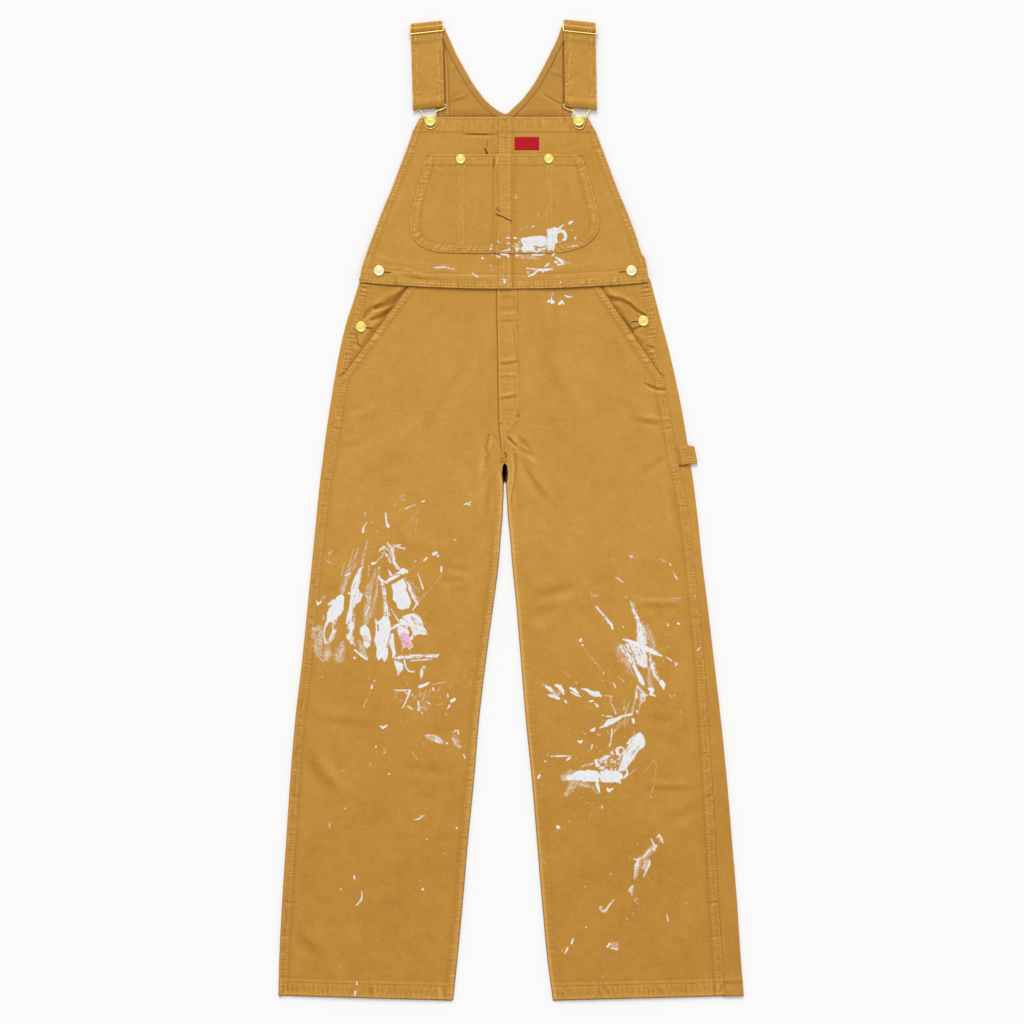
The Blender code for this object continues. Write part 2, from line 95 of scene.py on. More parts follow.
SLANTS = {"left": ((-152, 336), (-255.5, OPENING_FOOT)),
          "right": ((131.5, 337.5), (228, OPENING_FOOT))}
FLY_FOOT = 127.0
LEG_SEEDS = {"left": 11, "right": 41}  # of the unevenness of the fronts
SEAM_WIDTH = {"left": 11.0, "right": 12.5}
INNER_ROLL = 3.6                   # how far in a leg's inner edge rounds over
HEM_ROW = 20.0                     # height of the hem's stitches over its foot
CROTCH_FILL = {"left": (12, 50), "right": (36, 46)}  # where the backs widen upward
ROLL_STEPS = 8                     # of a leg's roll over its side

BIB = np.array((
    # y, left, right, sag
    (589.5, -139.5, 118.5, 0),
    (579, -144, 123, 0),
    (555, -151.5, 132, 0),
    (519, -165, 145.5, 0),
    (483, -178.5, 159, 0),
    (447, -193.5, 174, 0),
    (411, -207, 187.5, 4),
    (387, -216, 195, 7),
    (383, -217.2, 196.6, 7.6),
    (380, -218.1, 199.2, 8),
    (369, -222.0, 202.4, 9.6),
    (357, -224.8, 204.4, 10),
    (342, -227.2, 206.4, 10),
), float)
BIB_CORNER = 8.0
POCKET_MIDDLE = -9.0
LAP_LEFT, LAP_RIGHT = -18.0, -5.2  # centre seam of the bib, right over left
BIB_TOP, BIB_FOOT = 589.5, 342.0
POCKET_TOP, POCKET_FOOT = 533.0, 385.0

POCKET_LEFT = np.array((
    (533, -126), (501, -135), (461, -145.5), (427, -150.7), (415, -149.5), (404, -143.5),
    (395, -133), (389.5, -119), (386.5, -103), (385.5, -84), (385, -60),
), float)
POCKET_RIGHT = np.array((
    (533, 106), (501, 116), (461, 126.5), (432, 132.7), (415, 128.5), (404, 120),
    (396, 108.5), (390.5, 94), (387, 78), (385.5, 62), (385, 45),
), float)
STRIPS = {"left": (-81, -67.5), "right": (51, 64.5), "centre": (-18.5, 1.5)}

NECK = np.array((
    (-102, 727.5), (-93, 708), (-82.5, 684), (-70.5, 663), (-57, 639),
    (-39, 615), (-25.5, 603), (-7, 592), (3, 603), (16.5, 615),
    (34.5, 639), (48, 663), (58.5, 684), (70.5, 708), (76.5, 727.5),
), float)
YOKE_LEFT = np.array(((722, -147), (690, -142), (640, -125), (597, -112), (575, -112),
                      (530, -135), (450, -180), (380, -212), (345.3, -228.3)), float)
YOKE_RIGHT = np.array(((722, 123), (690, 118), (640, 103), (597, 91), (575, 91),
                       (530, 114), (450, 160), (380, 191), (345.3, 208.4)), float)

YOKES = {"left": YOKE_LEFT, "right": YOKE_RIGHT}
STRAP_WIDTH, STRAP_TOP, STRAP_SKEW = 47.0, 731.5, 0.105
STRAPS = {"left": (-127.0, -123.5), "right": (103.0, 105.0)}
STRAP_LIFT = {"left": 1.2, "right": 2.8}  # how far the fold stands up past the top
BUCKLE_DOWN, SLIDER_DOWN = 126.6, (8.0, 18.5)
BUCKLE_WIRE, SLIDER_WIRE = 2.8, 2.6

BUTTONS = (
    # node, x, y, diameter, lift of the cap over its foot
    ("waist_button_left", -198, 358.8, 16.0, 0.9),
    ("waist_button_right", 180.6, 358.8, 16.0, 0.9),
    ("hip_button_left", -225, 274.8, 16.0, 0.9),
    ("hip_button_right", 198.5, 283.7, 16.0, 0.9),
    ("pocket_stud_left", -75.5, 525.8, 14.5, 0.5),
    ("pocket_stud_right", 56.5, 526.5, 14.5, 0.5),
)
BIB_BUTTONS = {"left": (-121.0, 583.2), "right": (101.5, 583.2)}
BIB_BUTTON_SIZES = (3.4, 16.0, 4.6)  # foot, diameter, lift of the cap
LOOP_REACH, LOOP_TOP, LOOP_FOOT = 277.5, 96.0, 69.5  # hammer loop
LABEL = (5.5, 42.0, 540.0, 559.5)  # left, right, foot, top
PICTURE_WIDTH, LENS, SENSOR = 1.536, 85.0, 36.0  # m, mm, mm


# --- Sums -----------------------------------------------------------------

def ramp(value, start, end):
    """0 at start and 1 at end, with soft ends."""
    share = np.clip((value - start) / (end - start), 0.0, 1.0)
    return share * share * (3 - 2 * share)


def bump(value, middle, width):
    """1 at the middle, fading away over a width on both sides."""
    return np.exp(-((value - middle) / width) ** 2)


def curve(table, y, at=1):
    """Smooth line through a table's rows (first column falls from row to row)."""
    ys, xs = table[::-1, 0], table[::-1, at]
    y = np.clip(np.asarray(y, float), ys[0], ys[-1])
    tangent = np.gradient(xs, ys)
    row = np.clip(np.searchsorted(ys, y) - 1, 0, len(ys) - 2)
    span = ys[row + 1] - ys[row]
    t = (y - ys[row]) / span
    return ((2 * t ** 3 - 3 * t ** 2 + 1) * xs[row]
            + (t ** 3 - 2 * t ** 2 + t) * span * tangent[row]
            + (3 * t ** 2 - 2 * t ** 3) * xs[row + 1]
            + (t ** 3 - t ** 2) * span * tangent[row + 1])


def to_segment(x, y, first, second):
    """Share of the way along a segment for each point, and the distance to it."""
    (x0, y0), (x1, y1) = first[:2], second[:2]
    span = max((x1 - x0) ** 2 + (y1 - y0) ** 2, 1e-6)
    t = np.clip(((x - x0) * (x1 - x0) + (y - y0) * (y1 - y0)) / span, 0, 1)
    return t, np.hypot(x - x0 - t * (x1 - x0), y - y0 - t * (y1 - y0))


def run_length(x, y):
    """Length along a line at each of its points."""
    return np.concatenate(([0], np.cumsum(np.hypot(np.diff(x), np.diff(y)))))


def rows_over(rows, x):
    """The rows' heights as a grid of x's shape."""
    return np.repeat(rows[:, None], x.shape[1], 1)


def lattice(seed):
    """Random values from -1 to 1 on a square grid."""
    return np.random.default_rng(seed).random((LATTICE, LATTICE)) * 2 - 1


def noise(x, y, size, seed, octaves=1, heading=0.0, stretch=1.0):
    """Smooth noise from -1 to 1 with blobs of a size, longer along the heading."""
    angle = math.radians(heading)
    u = (x * math.cos(angle) + y * math.sin(angle)) / (size * stretch)
    v = (y * math.cos(angle) - x * math.sin(angle)) / size
    total, weight = 0.0, 0.0
    for octave in range(octaves):
        values = lattice(seed + octave)
        i, j = np.floor(u).astype(int), np.floor(v).astype(int)
        fu, fv = u - i, v - j
        fu, fv = fu ** 3 * (fu * (fu * 6 - 15) + 10), fv ** 3 * (fv * (fv * 6 - 15) + 10)
        near_i, far_i = i % LATTICE, (i + 1) % LATTICE
        near_j, far_j = j % LATTICE, (j + 1) % LATTICE
        a, b = values[near_i, near_j], values[far_i, near_j]
        c, d = values[near_i, far_j], values[far_i, far_j]
        part = a + (b - a) * fu + (c - a + (a - b - c + d) * fu) * fv
        total = total + part * 0.5 ** octave
        weight += 0.5 ** octave
        u, v = u * 2.03 + 17.1, v * 2.03 + 5.7
    return total / weight


def leg(side, name, y):
    """A leg's outer edge, side seam or inner edge at the heights y."""
    return curve(LEGS, y, LEG_AT[side][name])


def slant(side, y):
    """The slanted mouth of a pocket."""
    (x0, y0), (x1, y1) = SLANTS[side]
    return x0 + (x1 - x0) * (y0 - y) / (y0 - y1)


def front_outer(side, y):
    """Outer edge of a leg's front: the pocket's mouth, and below it the seam."""
    return np.where(y > OPENING_FOOT, slant(side, y), leg(side, "seam", y))


def hem_drop(side, x, y):
    """How far the hem hangs down towards the inside of a leg."""
    outer, inner = leg(side, "outer", y), leg(side, "inner", y)
    inward = np.clip((x - outer) / (inner - outer), 0, 1)
    return HEM_DROP * inward * ramp(y, HEM + HEM_RAMP, HEM)


def crown(x, low, high):
    """1 over most of a width and 0 at both its ends."""
    return 1 - np.clip(np.abs((2 * x - low - high) / (high - low)), 0, 1) ** 4


# --- Relief of the cloth --------------------------------------------------

def bib_sag(x, hung):
    """How far the bib hangs down at x, from the height where it is drawn."""
    left, right, sag = (curve(BIB, hung, at) for at in (1, 2, 3))
    middle = (left + right) / 2
    share = np.clip(np.abs((x - middle) / (right - middle)), 0, 1)
    return sag * (1 - share ** 2)


def bib_foot(x):
    """Height on the page of the bib's lower edge."""
    return BIB_FOOT - bib_sag(x, BIB_FOOT)


def layers(z, wear_and_shade=0.0, seam=0.0):
    """Height, rubbing with painted light and shade, and share of a seam together, so that reliefs add up.
    """
    return np.stack(np.broadcast_arrays(np.asarray(z, float), wear_and_shade, seam)).astype(float)


def pucker(t, period, seed):
    """Uneven gathers along a seam, from -1 to 1."""
    wander = noise(t, t * 0, period * 3, seed) * 6
    size = 0.62 + 0.45 * noise(t, t * 0 + 9, period * 2, seed + 1)
    return np.sin(2 * math.pi * t / period + wander) * size


def seam_band(d, t, width, height, gather, period=5.0, seed=1, rows=(0.16, 0.84)):
    """A sewn fold lying along an edge: d from the edge, t along it."""
    inside = ramp(d, width + 1.2, width - 1.2)
    z = height * inside - 0.12 * bump(d, width + 1.3, 1.4)
    # Colour: a light fold edge, part rubbing and part painted light; painted shadow just outside the band;
    # painted shade in the stitch rows; flecks; and the puckers lighter on top and darker between, part
    # rubbing and part painted light and shade
    wear_and_shade = 0.75 * bump(d, 0.5, 0.8) - 0.12 * bump(d, width + 1.0, 1.2)
    for row in rows:
        z = z - 0.22 * bump(d, row * width, 0.8)
        wear_and_shade = wear_and_shade - 0.34 * bump(d, row * width, 0.8)
    fading = inside * (1 - 0.5 * np.clip(d / width, 0, 1))
    wear_and_shade = wear_and_shade + 0.42 * noise(t, d * 0.45, 3.3, seed + 7, 2) * fading
    swell = bump(d, width * 0.5, width * 0.62)
    beads = pucker(t + d * 0.15, period, seed) * swell
    return layers(z + gather * beads, wear_and_shade + 3.0 * gather * beads, fading)


def trails(table, x, y):
    """Height, and the painted light and shade that go with it, of all the soft lines of a table."""
    total = layers(np.zeros(np.shape(x)))
    for height, wear_and_shade, *line in table:
        nearest = np.full(np.shape(x), FAR_OFF)
        for first, second in zip(line, line[1:]):
            t, away = to_segment(x, y, first, second)
            width = first[2] + (second[2] - first[2]) * t
            nearest = np.minimum(nearest, away / np.maximum(width, THINNEST))
        shape = np.exp(-nearest ** 2)
        total += layers(height * shape, wear_and_shade * shape)
    return total


# Folds: middle, heading, length, width, height (a trough below zero) and how
# far the ends bend off the straight
LEG_FOLDS = (
    # left leg
    (-256, -316, -4, 118, 5.5, -1.3, 3), (-252, -308, -4, 105, 7, 0.8, 3),
    (-279, -400, -48, 112, 7, -1.2, 4), (-268, -395, -48, 100, 8, 0.9, 4),
    (-123, -387, -7, 128, 6, -1.3, 4), (-120, -396, -7, 110, 7, 0.8, 4),
    (-300, -654, -36, 76, 6, -1.1, 3), (-176, -655, -3, 150, 8, -0.39, -4),
    (-288, -690, -10, 66, 7, -0.8, 3), (-232, -640, -25, 90, 9, 0.33, 2),
    (-82, -86, -8, 52, 3.4, -0.6, 2), (-76, -95, -6, 44, 4, 0.4, 2),
    (-86, -104, -4, 50, 3.4, -0.5, 1), (-76, -118, 4, 40, 3.4, -0.35, 1),
    (-120, -48, -10, 90, 6, 0.7, 3), (-150, -52, -12, 80, 6, -0.5, 3),
    (-268, -60, 4, 60, 5, -0.5, 2), (-270, -118, 6, 50, 4, -0.5, 2),
    (-95, -200, 4, 60, 6, -0.5, 2), (-200, -480, 12, 130, 12, 0.33, 5),
    (-130, -560, -14, 150, 14, -0.33, 6), (-300, -540, 65, 110, 9, -0.28, 4),
    (-150, -290, -12, 120, 9, 0.33, 4), (-100, -330, 8, 70, 6, -0.5, 2),
    # right leg
    (66, -122, 12, 104, 5, -1.3, -4), (70, -131, 12, 96, 6, 0.8, -4),
    (134, -108, 6, 60, 5, -0.6, -3), (222, -136, 0, 94, 3.2, 1.0, 1),
    (222, -142, 0, 94, 4, -0.9, 1), (45, -150, 10, 62, 5, -0.8, 2),
    (42, -172, 4, 50, 5, 0.6, 2), (236, -417, -1, 104, 3.5, -1.2, 0),
    (236, -411, -1, 100, 4.5, 0.8, 0), (254, -457, 25, 88, 6, -1.2, 3),
    (250, -466, 25, 84, 7, 0.9, 3), (225, -313, 3, 60, 4.5, -0.7, 1),
    (240, -345, -4, 60, 5, -0.5, 1), (112, -520, 20, 130, 14, 0.33, 5),
    (200, -590, -8, 150, 15, -0.33, 6), (60, -640, 30, 90, 10, -0.28, 3),
    (262, -600, 70, 120, 10, 0.28, 4), (150, -700, -4, 110, 9, -0.28, 3),
    (120, -225, -35, 120, 12, 0.28, 5), (235, -230, 68, 90, 8, -0.5, 3),
    (258, 10, -72, 70, 5, 0.9, -3), (250, 5, -72, 76, 5, -0.9, -3),
)
THIGH_FOLDS = (
    # out of the crotch and over the thighs
    (20, 92, -42, 42, 3.4, -1.5, 5), (13, 99, -36, 40, 3.4, 1.3, 5),
    (30, 80, -52, 48, 4, 0.9, 5), (38, 40, -56, 84, 5, -0.9, 5),
    (-33, 82, 66, 46, 3.6, -1.3, -3), (-40, 72, 70, 56, 4.5, 0.9, -4),
    (-34, 20, 84, 70, 4.5, -0.8, -2), (4, 25, -84, 66, 4, 0.9, 2),
    (-75, 190, 58, 230, 13, 0.44, 8), (-110, 150, 48, 220, 15, -0.39, 8),
    (-165, 120, 40, 200, 16, 0.39, 8), (-210, 60, 26, 120, 11, -0.39, 6),
    (-240, 100, 14, 90, 8, -0.7, 3), (-226, 148, 22, 70, 7, 0.6, 3),
    (60, 210, -62, 220, 13, -0.44, -8), (100, 170, -52, 220, 16, 0.39, -8),
    (150, 110, -40, 200, 16, -0.33, -8), (190, 160, -28, 110, 9, 0.39, -4),
    (205, 133, -8, 62, 5, -1.1, 2), (210, 141, -8, 56, 5, 0.8, 2),
    (215, 70, 30, 90, 8, -0.7, 3), (120, 285, -30, 90, 10, 0.33, 4),
    (-120, 290, 25, 90, 10, -0.33, 4), (55, 300, -75, 90, 8, 0.6, 2),
    (-60, 300, 80, 110, 10, -0.28, 3), (170, 250, -62, 90, 8, 0.5, 2),
)
FLY_FOLDS = (
    (-5, 319, 2, 34, 2.4, -0.6, 1), (-5, 303, 3, 38, 2.0, -0.7, 1),
    (-4, 295, 4, 38, 2.2, 0.8, 1), (-5, 284, 5, 38, 2.0, -0.9, 1.5),
    (-3, 221, 9, 40, 2.0, -1.7, 2), (-3, 227, 9, 38, 2.4, 0.7, 2),
    (-4, 204, 1, 40, 1.8, 0.9, 0.5), (-4, 200, 1, 40, 2.0, -0.7, 0.5),
    (-3, 169.5, 12, 40, 2.0, -1.7, 2), (-3, 175, 12, 38, 2.4, 0.7, 2),
    (-3, 150, -4, 30, 2.4, -0.5, 1), (-3, 255, -3, 30, 3.2, 0.4, 1),
)
BIB_FOLDS = (
    (-137, 355, -6, 66, 3.6, -1.0, 3), (-140, 361, -6, 60, 4, 0.8, 3),
    (-95, 352, -4, 70, 4, -0.6, 2), (-60, 362, -3, 80, 4.5, 0.5, 2),
    (60, 361, 4, 80, 4.5, -0.5, 2), (120, 352, 6, 70, 4, 0.5, 2),
    (-190, 380, -18, 50, 4, 0.5, 2), (-20, 378, 0, 60, 5, -0.5, 2),
    (-120, 372, -3, 110, 5, 0.5, 3), (95, 374, 3, 100, 5, 0.5, 3),
    (-49, 563.5, -1, 56, 1.3, -1.5, 0), (-49, 567, -1, 54, 2, 0.7, 0),
    (-36, 534, 88, 9, 1.6, -1.2, 0), (-185, 440, 62, 120, 9, 0.5, 4),
    (165, 440, -62, 120, 9, 0.5, -4), (88, 548, 20, 40, 5, -0.4, 2),
    (-100, 550, -8, 60, 6, 0.4, 2),
)
POCKET_FOLDS = (
    (-110, 470, 75, 90, 9, 0.5, 4), (-45, 440, 80, 100, 10, -0.5, 4),
    (95, 480, -70, 80, 9, 0.5, 3), (30, 460, 85, 100, 9, -0.4, 4),
    (-25, 521, 78, 14, 1.6, -0.8, 1), (-108, 512, -30, 40, 5, 0.4, 1),
)
FACING_FOLDS = {
    "left": (
        (-190, 300, 38, 84, 8, 4.4, -6), (-182, 322, 30, 76, 6, 2.6, -5),
        (-198, 279, 24, 62, 5.5, 3.8, -4), (-222, 258, 60, 40, 6, 2.4, 2),
        (-228, 240, -30, 34, 4, 1.6, 3), (-240, 225, 62, 46, 5, 1.5, 0),
    ),
    "right": (
        (160, 318, -22, 84, 8, 4.0, -8), (172, 292, -36, 76, 7, 3.4, -5),
        (188, 262, -20, 50, 5.5, 3.2, 3), (205, 250, 45, 40, 5, 2.0, 2),
        (214, 238, -50, 30, 3.4, 2.2, 0), (216, 222, -80, 40, 5, 1.6, 0),
    ),
}
# Soft lines: height, painted light and shade (shade below zero), then (x, y, half width)s
FACING_TRAILS = {
    "left": (
        (-2.4, -0.55, (-154, 331, 3), (-169.7, 319.5, 6), (-184.8, 310.8, 6), (-203, 303, 3)),
        (-1.7, -0.72, (-176, 299, 5.2), (-188, 294.5, 4.8), (-199, 290, 3.6), (-209, 286, 2.0)),
        (-1.2, -0.40, (-221, 289, 2.0), (-216, 297, 3.8), (-207, 304, 4.4), (-195, 308, 2.6)),
        (0.6, 0.10, (-219, 284, 2.0), (-206, 298, 3.5), (-188, 303, 3.0), (-172, 309, 2.0)),
        (-0.7, -0.55, (-241, 252.5, 0.5), (-230.4, 249, 1.2), (-221.8, 243.6, 0.7)),
        (-0.8, -0.45, (-232.6, 265, 0.6), (-229.4, 251, 1.3)),
        (0.0, -0.34, (-158, 324, 6), (-178, 309, 9), (-194, 297, 6), (-204, 288, 3)),
        (0.5, 0.10, (-236, 246, 1.0), (-228, 243, 1.8), (-222, 237, 1.0)),
    ),
    "right": (
        (-2.4, -0.85, (144, 318.5, 3.6), (153, 317.5, 3.6), (165, 315.5, 3.4), (178, 309, 3.0),
         (191, 298, 2.4), (202, 292.5, 1.4)),
        (0.8, 0.10, (150, 309, 3.0), (164, 306, 4.0), (178, 298, 3.5), (188, 288, 2.0)),
        (-2.0, -0.85, (162, 292, 1.8), (168, 285, 3.0), (176, 276, 3.0), (183, 266, 1.6)),
        (-1.4, -0.60, (180, 268.5, 1.4), (187, 272.5, 2.0), (195, 275.5, 1.2)),
        (-1.2, -0.85, (203.5, 247.6, 0.7), (209, 244.5, 1.3), (215.0, 244.0, 1.0)),
        (0.0, -0.42, (140, 316, 4), (152, 311, 6), (170, 304, 6), (184, 294, 4), (194, 287, 2)),
        (0.0, -0.25, (170, 280, 3), (182, 268, 5), (192, 258, 3)),
    ),
}
LEG_TRAILS = (
    # round the crotch
    (-1.6, -1.35, (-5.6, 109.8, 0.9), (-3, 107.5, 1.7), (3.5, 101.6, 1.8), (10, 95.0, 0.7)),
    (0.6, 0.30, (-5.5, 104.0, 0.8), (2.0, 98.0, 1.5), (9.0, 92.0, 0.7)),
    (-0.4, -0.20, (12, 110, 1.4), (20, 102, 3.4), (27, 93, 1.6)),
    (-0.6, -0.30, (-33, 114, 0.9), (-36, 99, 3.0), (-38, 79, 1.0)),
    (0.4, 0.10, (-29.5, 110, 1.4), (-31, 98, 3.0), (-30, 80, 1.4)),
    (-0.3, -0.16, (-27.4, 115, 1.2), (-21, 106, 2.6), (-17, 93, 1.2)),
    (-0.4, -0.28, (5.5, 84, 0.8), (7.6, 66, 1.6), (5.6, 47.7, 1.5), (1, 22, 1.3), (-2.4, 0, 0.8)),
    (0.5, 0.22, (1, 82, 0.9), (3.2, 62, 1.8), (2.4, 42, 1.8), (-2, 16, 1.0)),
    (-0.16, -0.08, (16, 76, 1.2), (25, 58, 2.8), (34, 46, 1.6), (52, 25, 1.4), (70, 4, 0.8)),
    (-0.2, -0.08, (-24.0, 56, 1.8), (-24.5, 30, 3.4), (-23.0, -4, 1.8)),
    (-0.12, -0.07, (18, 117, 1.2), (34, 120, 1.8), (52, 121, 1.0)),
    (-0.12, -0.06, (49, 127, 1.2), (66, 133, 1.8), (84, 136, 1.0)),
    # These three lines paint near-black shade down into the gap at the crotch
    (-1.0, -2.20, (-9.8, 85.5, 1.1), (-7.6, 82.5, 1.8), (-6.8, 79, 1.0)),
    (-0.6, -1.50, (-15.5, 76.0, 0.8), (-10.5, 78.2, 1.1), (-6.0, 78.2, 0.8)),
    (-0.6, -1.50, (-15.5, 71.0, 0.8), (-10.5, 72.6, 1.1), (-6.0, 73.2, 0.8)),
    (-0.3, -0.45, (-11, 106, 0.5), (-10.5, 96, 0.8), (-10, 86, 0.5)),
    (-0.3, -0.40, (-15.5, 106, 0.5), (-14.5, 92, 0.8), (-14, 80, 0.5)),
    # at the foot of the right pocket
    (-1.2, -0.50, (202, 190, 0.8), (210, 185.6, 1.7), (219, 182.0, 2.1), (231, 181.0, 1.8),
     (242, 181.6, 0.8)),
    (0.5, 0.14, (206, 182, 1.0), (218, 176.5, 2.0), (232, 175.5, 1.6)),
    (-0.8, -0.60, (236, 208, 0.7), (239.5, 200, 1.1), (242.5, 190, 1.0), (243.5, 183, 0.6)),
)
BIB_TRAILS = (
    (-0.2, -0.14, (-188, 371, 0.8), (-160, 367, 1.2), (-120, 366, 1.0), (-96, 368, 0.6)),
    (-0.3, -0.22, (-157, 357, 0.8), (-140, 353, 1.3), (-118, 354.5, 0.8)),
    (0.3, 0.20, (-160, 361, 0.8), (-140, 357.5, 1.4), (-116, 358.5, 0.8)),
)
YOKE_TRAILS = (
    (-0.3, -0.60, (-100, 700, 0.8), (-95.2, 675, 1.0), (-93.4, 623, 1.1), (-92.5, 594, 0.9)),
    (0.4, 0.35, (-102, 700, 0.8), (-97.6, 675, 1.1), (-95.9, 623, 1.2), (-95.0, 594, 1.0)),
    (-0.3, -0.60, (78.6, 706, 0.8), (78.4, 660, 1.0), (78.2, 608, 1.1), (77.0, 594, 0.9)),
    (0.4, 0.35, (80.9, 700, 0.7), (80.8, 660, 0.9), (80.6, 608, 0.9), (79.4, 594, 0.8)),
    (-0.7, -0.50, (-92, 612, 1.4), (-82, 616, 1.6), (-70, 619.5, 0.7)),
    (0.0, -0.30, (-90, 620, 3.0), (-78, 623, 4.0), (-66, 622, 1.5)),
    (-0.7, -0.50, (49, 624, 0.8), (60, 618, 1.6), (70, 612.5, 1.6), (76, 610, 1.0)),
    (-0.3, -0.35, (76, 652, 2.4), (68, 653, 2.4), (62, 655, 1.0)),
    (0.0, -0.35, (-88, 598, 3.0), (-60, 597, 5.0), (-40, 598, 3.0)),
    (0.0, -0.35, (70, 598, 3.0), (44, 597, 5.0), (26, 598, 3.0)),
)
POCKET_TRAILS = (
    (-0.5, -0.45, (-19.5, 520, 0.8), (-20.5, 505, 1.4), (-20, 470, 1.3), (-20.4, 440, 1.2),
     (-21, 410, 1.0), (-20.5, 392, 0.7)),
    (-0.9, -0.80, (-25.2, 526, 0.6), (-26.4, 518, 1.2), (-26.0, 512, 0.6)),
    (-0.5, -0.35, (-13, 525, 0.6), (-11.5, 519, 1.2), (-12, 511, 0.7)),
)
YOKE_FOLDS = (
    (-78, 621, 18, 24, 3, 0.5, 2), (54, 620, -30, 34, 3.4, 0.5, 3),
    (-86, 668, 10, 30, 4, 0.3, 1), (66, 660, -12, 26, 4, 0.3, 1),
)


def folds(table, x, y, soft=1.0):
    """Height of all the folds of a table at the points."""
    total = np.zeros_like(x, dtype=float)
    for middle_x, middle_y, heading, length, width, height, bend in table:
        angle = math.radians(heading)
        dx, dy = x - middle_x, y - middle_y
        near = (np.abs(dx) < length) & (np.abs(dy) < length)
        if not near.any():
            continue
        along = (dx[near] * math.cos(angle) + dy[near] * math.sin(angle)) / (length / 2)
        across = dy[near] * math.cos(angle) - dx[near] * math.sin(angle)
        across = across - bend * (along ** 2 - 0.3)
        wide = width * soft * (1 + 0.5 * along ** 2)
        fade = np.clip(1 - along ** 2, 0, 1) ** 1.5
        total[near] += height * fade * np.exp(-(across / wide) ** 2)
    return total


def wrinkles(x, y, seed, amount=1.0):
    """The cloth's own unevenness, in three sizes."""
    broad = noise(x, y, 46, seed, 2, heading=20, stretch=2.2) * 0.9
    middle = noise(x, y, 15, seed + 5, 2, heading=-25, stretch=1.8) * 0.26
    small = noise(x, y, 5.0, seed + 9, 2) * 0.07
    return amount * (broad + middle + small)


# --- Making meshes --------------------------------------------------------

clothes = []                       # (vertices in mm, quads) of what paint lands on


def grid_faces(rows, across):
    """Quads of a grid of points."""
    at = np.arange(rows * across).reshape(rows, across)
    return np.stack((at[:-1, :-1], at[1:, :-1], at[1:, 1:], at[:-1, 1:]), -1).reshape(-1, 4)


def linked(name, data):
    """A new object of the scene that shows its data."""
    obj = bpy.data.objects.new(name, data)
    bpy.context.scene.collection.objects.link(obj)
    return obj


def new_object(name, points, faces, material, lowest=0.0):
    """A mesh from points in millimetres, none of which goes under the ground."""
    points = np.array(points, float)
    points[:, 2] = np.maximum(points[:, 2], lowest)
    mesh = bpy.data.meshes.new(name)
    listed = faces.tolist() if isinstance(faces, np.ndarray) else faces
    mesh.from_pydata((points * MM).tolist(), [], listed)
    mesh.shade_smooth()
    mesh.materials.append(material)
    return linked(name, mesh)


def attribute(obj, name, values):
    """A value at each point of a piece, for its material to read."""
    made = obj.data.attributes.new(name, "FLOAT", "POINT")
    made.data.foreach_set("value", np.asarray(values, np.float32).ravel())


def rimmed(grid, depth=RIM):
    """A grid of points with a rounded edge turned down all round it."""
    for outward, down in ((RIM_OUT, RIM_SHOULDER), (-RIM_BACK, depth - RIM_SHOULDER)):
        for axis in (0, 1):
            parts = []
            for end, next_to_end in ((0, 1), (-1, -2)):
                edge, inner = np.take(grid, end, axis), np.take(grid, next_to_end, axis)
                away = edge - inner
                away[:, 2] = 0
                away /= np.maximum(np.linalg.norm(away, axis=1, keepdims=True), 1e-6)
                moved = edge + away * outward
                moved[:, 2] -= down
                parts.append(np.expand_dims(moved, axis))
            grid = np.concatenate((parts[0], grid, parts[1]), axis)
    return grid


def soften(values, rows, across):
    """Box blur over the grid."""
    for axis, reach in ((0, rows), (1, across)):
        before = np.repeat(np.take(values, [0], axis), reach, axis)
        after = np.repeat(np.take(values, [-1], axis), reach, axis)
        total = np.cumsum(np.concatenate((before, values, after), axis), axis)
        total = np.concatenate((np.zeros_like(np.take(total, [0], axis)), total), axis)
        count, places = 2 * reach + 1, values.shape[axis]
        high = np.take(total, range(count, count + places), axis)
        values = (high - np.take(total, range(places), axis)) / count
    return values


def worn_and_shaded(z, marks, blur):
    """Rubbing with painted light and shade: high parts lighter and low ones darker, part rubbing and part
    painted light and shade, with the marks added.
    """
    return np.clip((z - soften(z, *blur)) * 1.3 + marks, -1.4, 1.2)


def facing_up(points, faces):
    """The faces in the order that makes them look up."""
    first, second = faces[:, 0], faces[:, 1]
    third, fourth = faces[:, 2], faces[:, 3]
    area = np.cross(points[third] - points[first], points[fourth] - points[second])[:, 2].sum()
    return faces[:, ::-1] if area < 0 else faces


def rimmed_grid(x, y, relief, blur, depth=RIM):
    """Points, faces, rubbing with painted light and shade, and seam of a cloth grid with its edge turned
    down.
    """
    z, marks, seam = relief
    grid = rimmed(np.stack((x, y, z), -1), depth)
    wear_and_shade = np.pad(worn_and_shaded(z, marks, blur), 2, mode="edge")
    seam = np.pad(seam, 2, mode="edge")
    return grid.reshape(-1, 3), grid_faces(*grid.shape[:2]), wear_and_shade.ravel(), seam.ravel()


def dressed(name, points, faces, wear_and_shade, seam, material, nodes):
    """A cloth piece with its rubbing and painted light and shade, on which paint and thread can lie."""
    obj = new_object(name, points, faces, material)
    attribute(obj, "wear_and_shade", wear_and_shade)
    attribute(obj, "seam", seam)
    clothes.append((points, faces))
    return settle(obj, nodes)


def cloth(name, x, y, relief, material, nodes, blur=(4, 4)):
    """A cloth piece from grids of x, y and a relief, with its rubbing and painted light and shade worked
    out.
    """
    points, faces, wear_and_shade, seam = rimmed_grid(x, y, relief, blur)
    return dressed(name, points, facing_up(points, faces), wear_and_shade, seam, material, nodes)


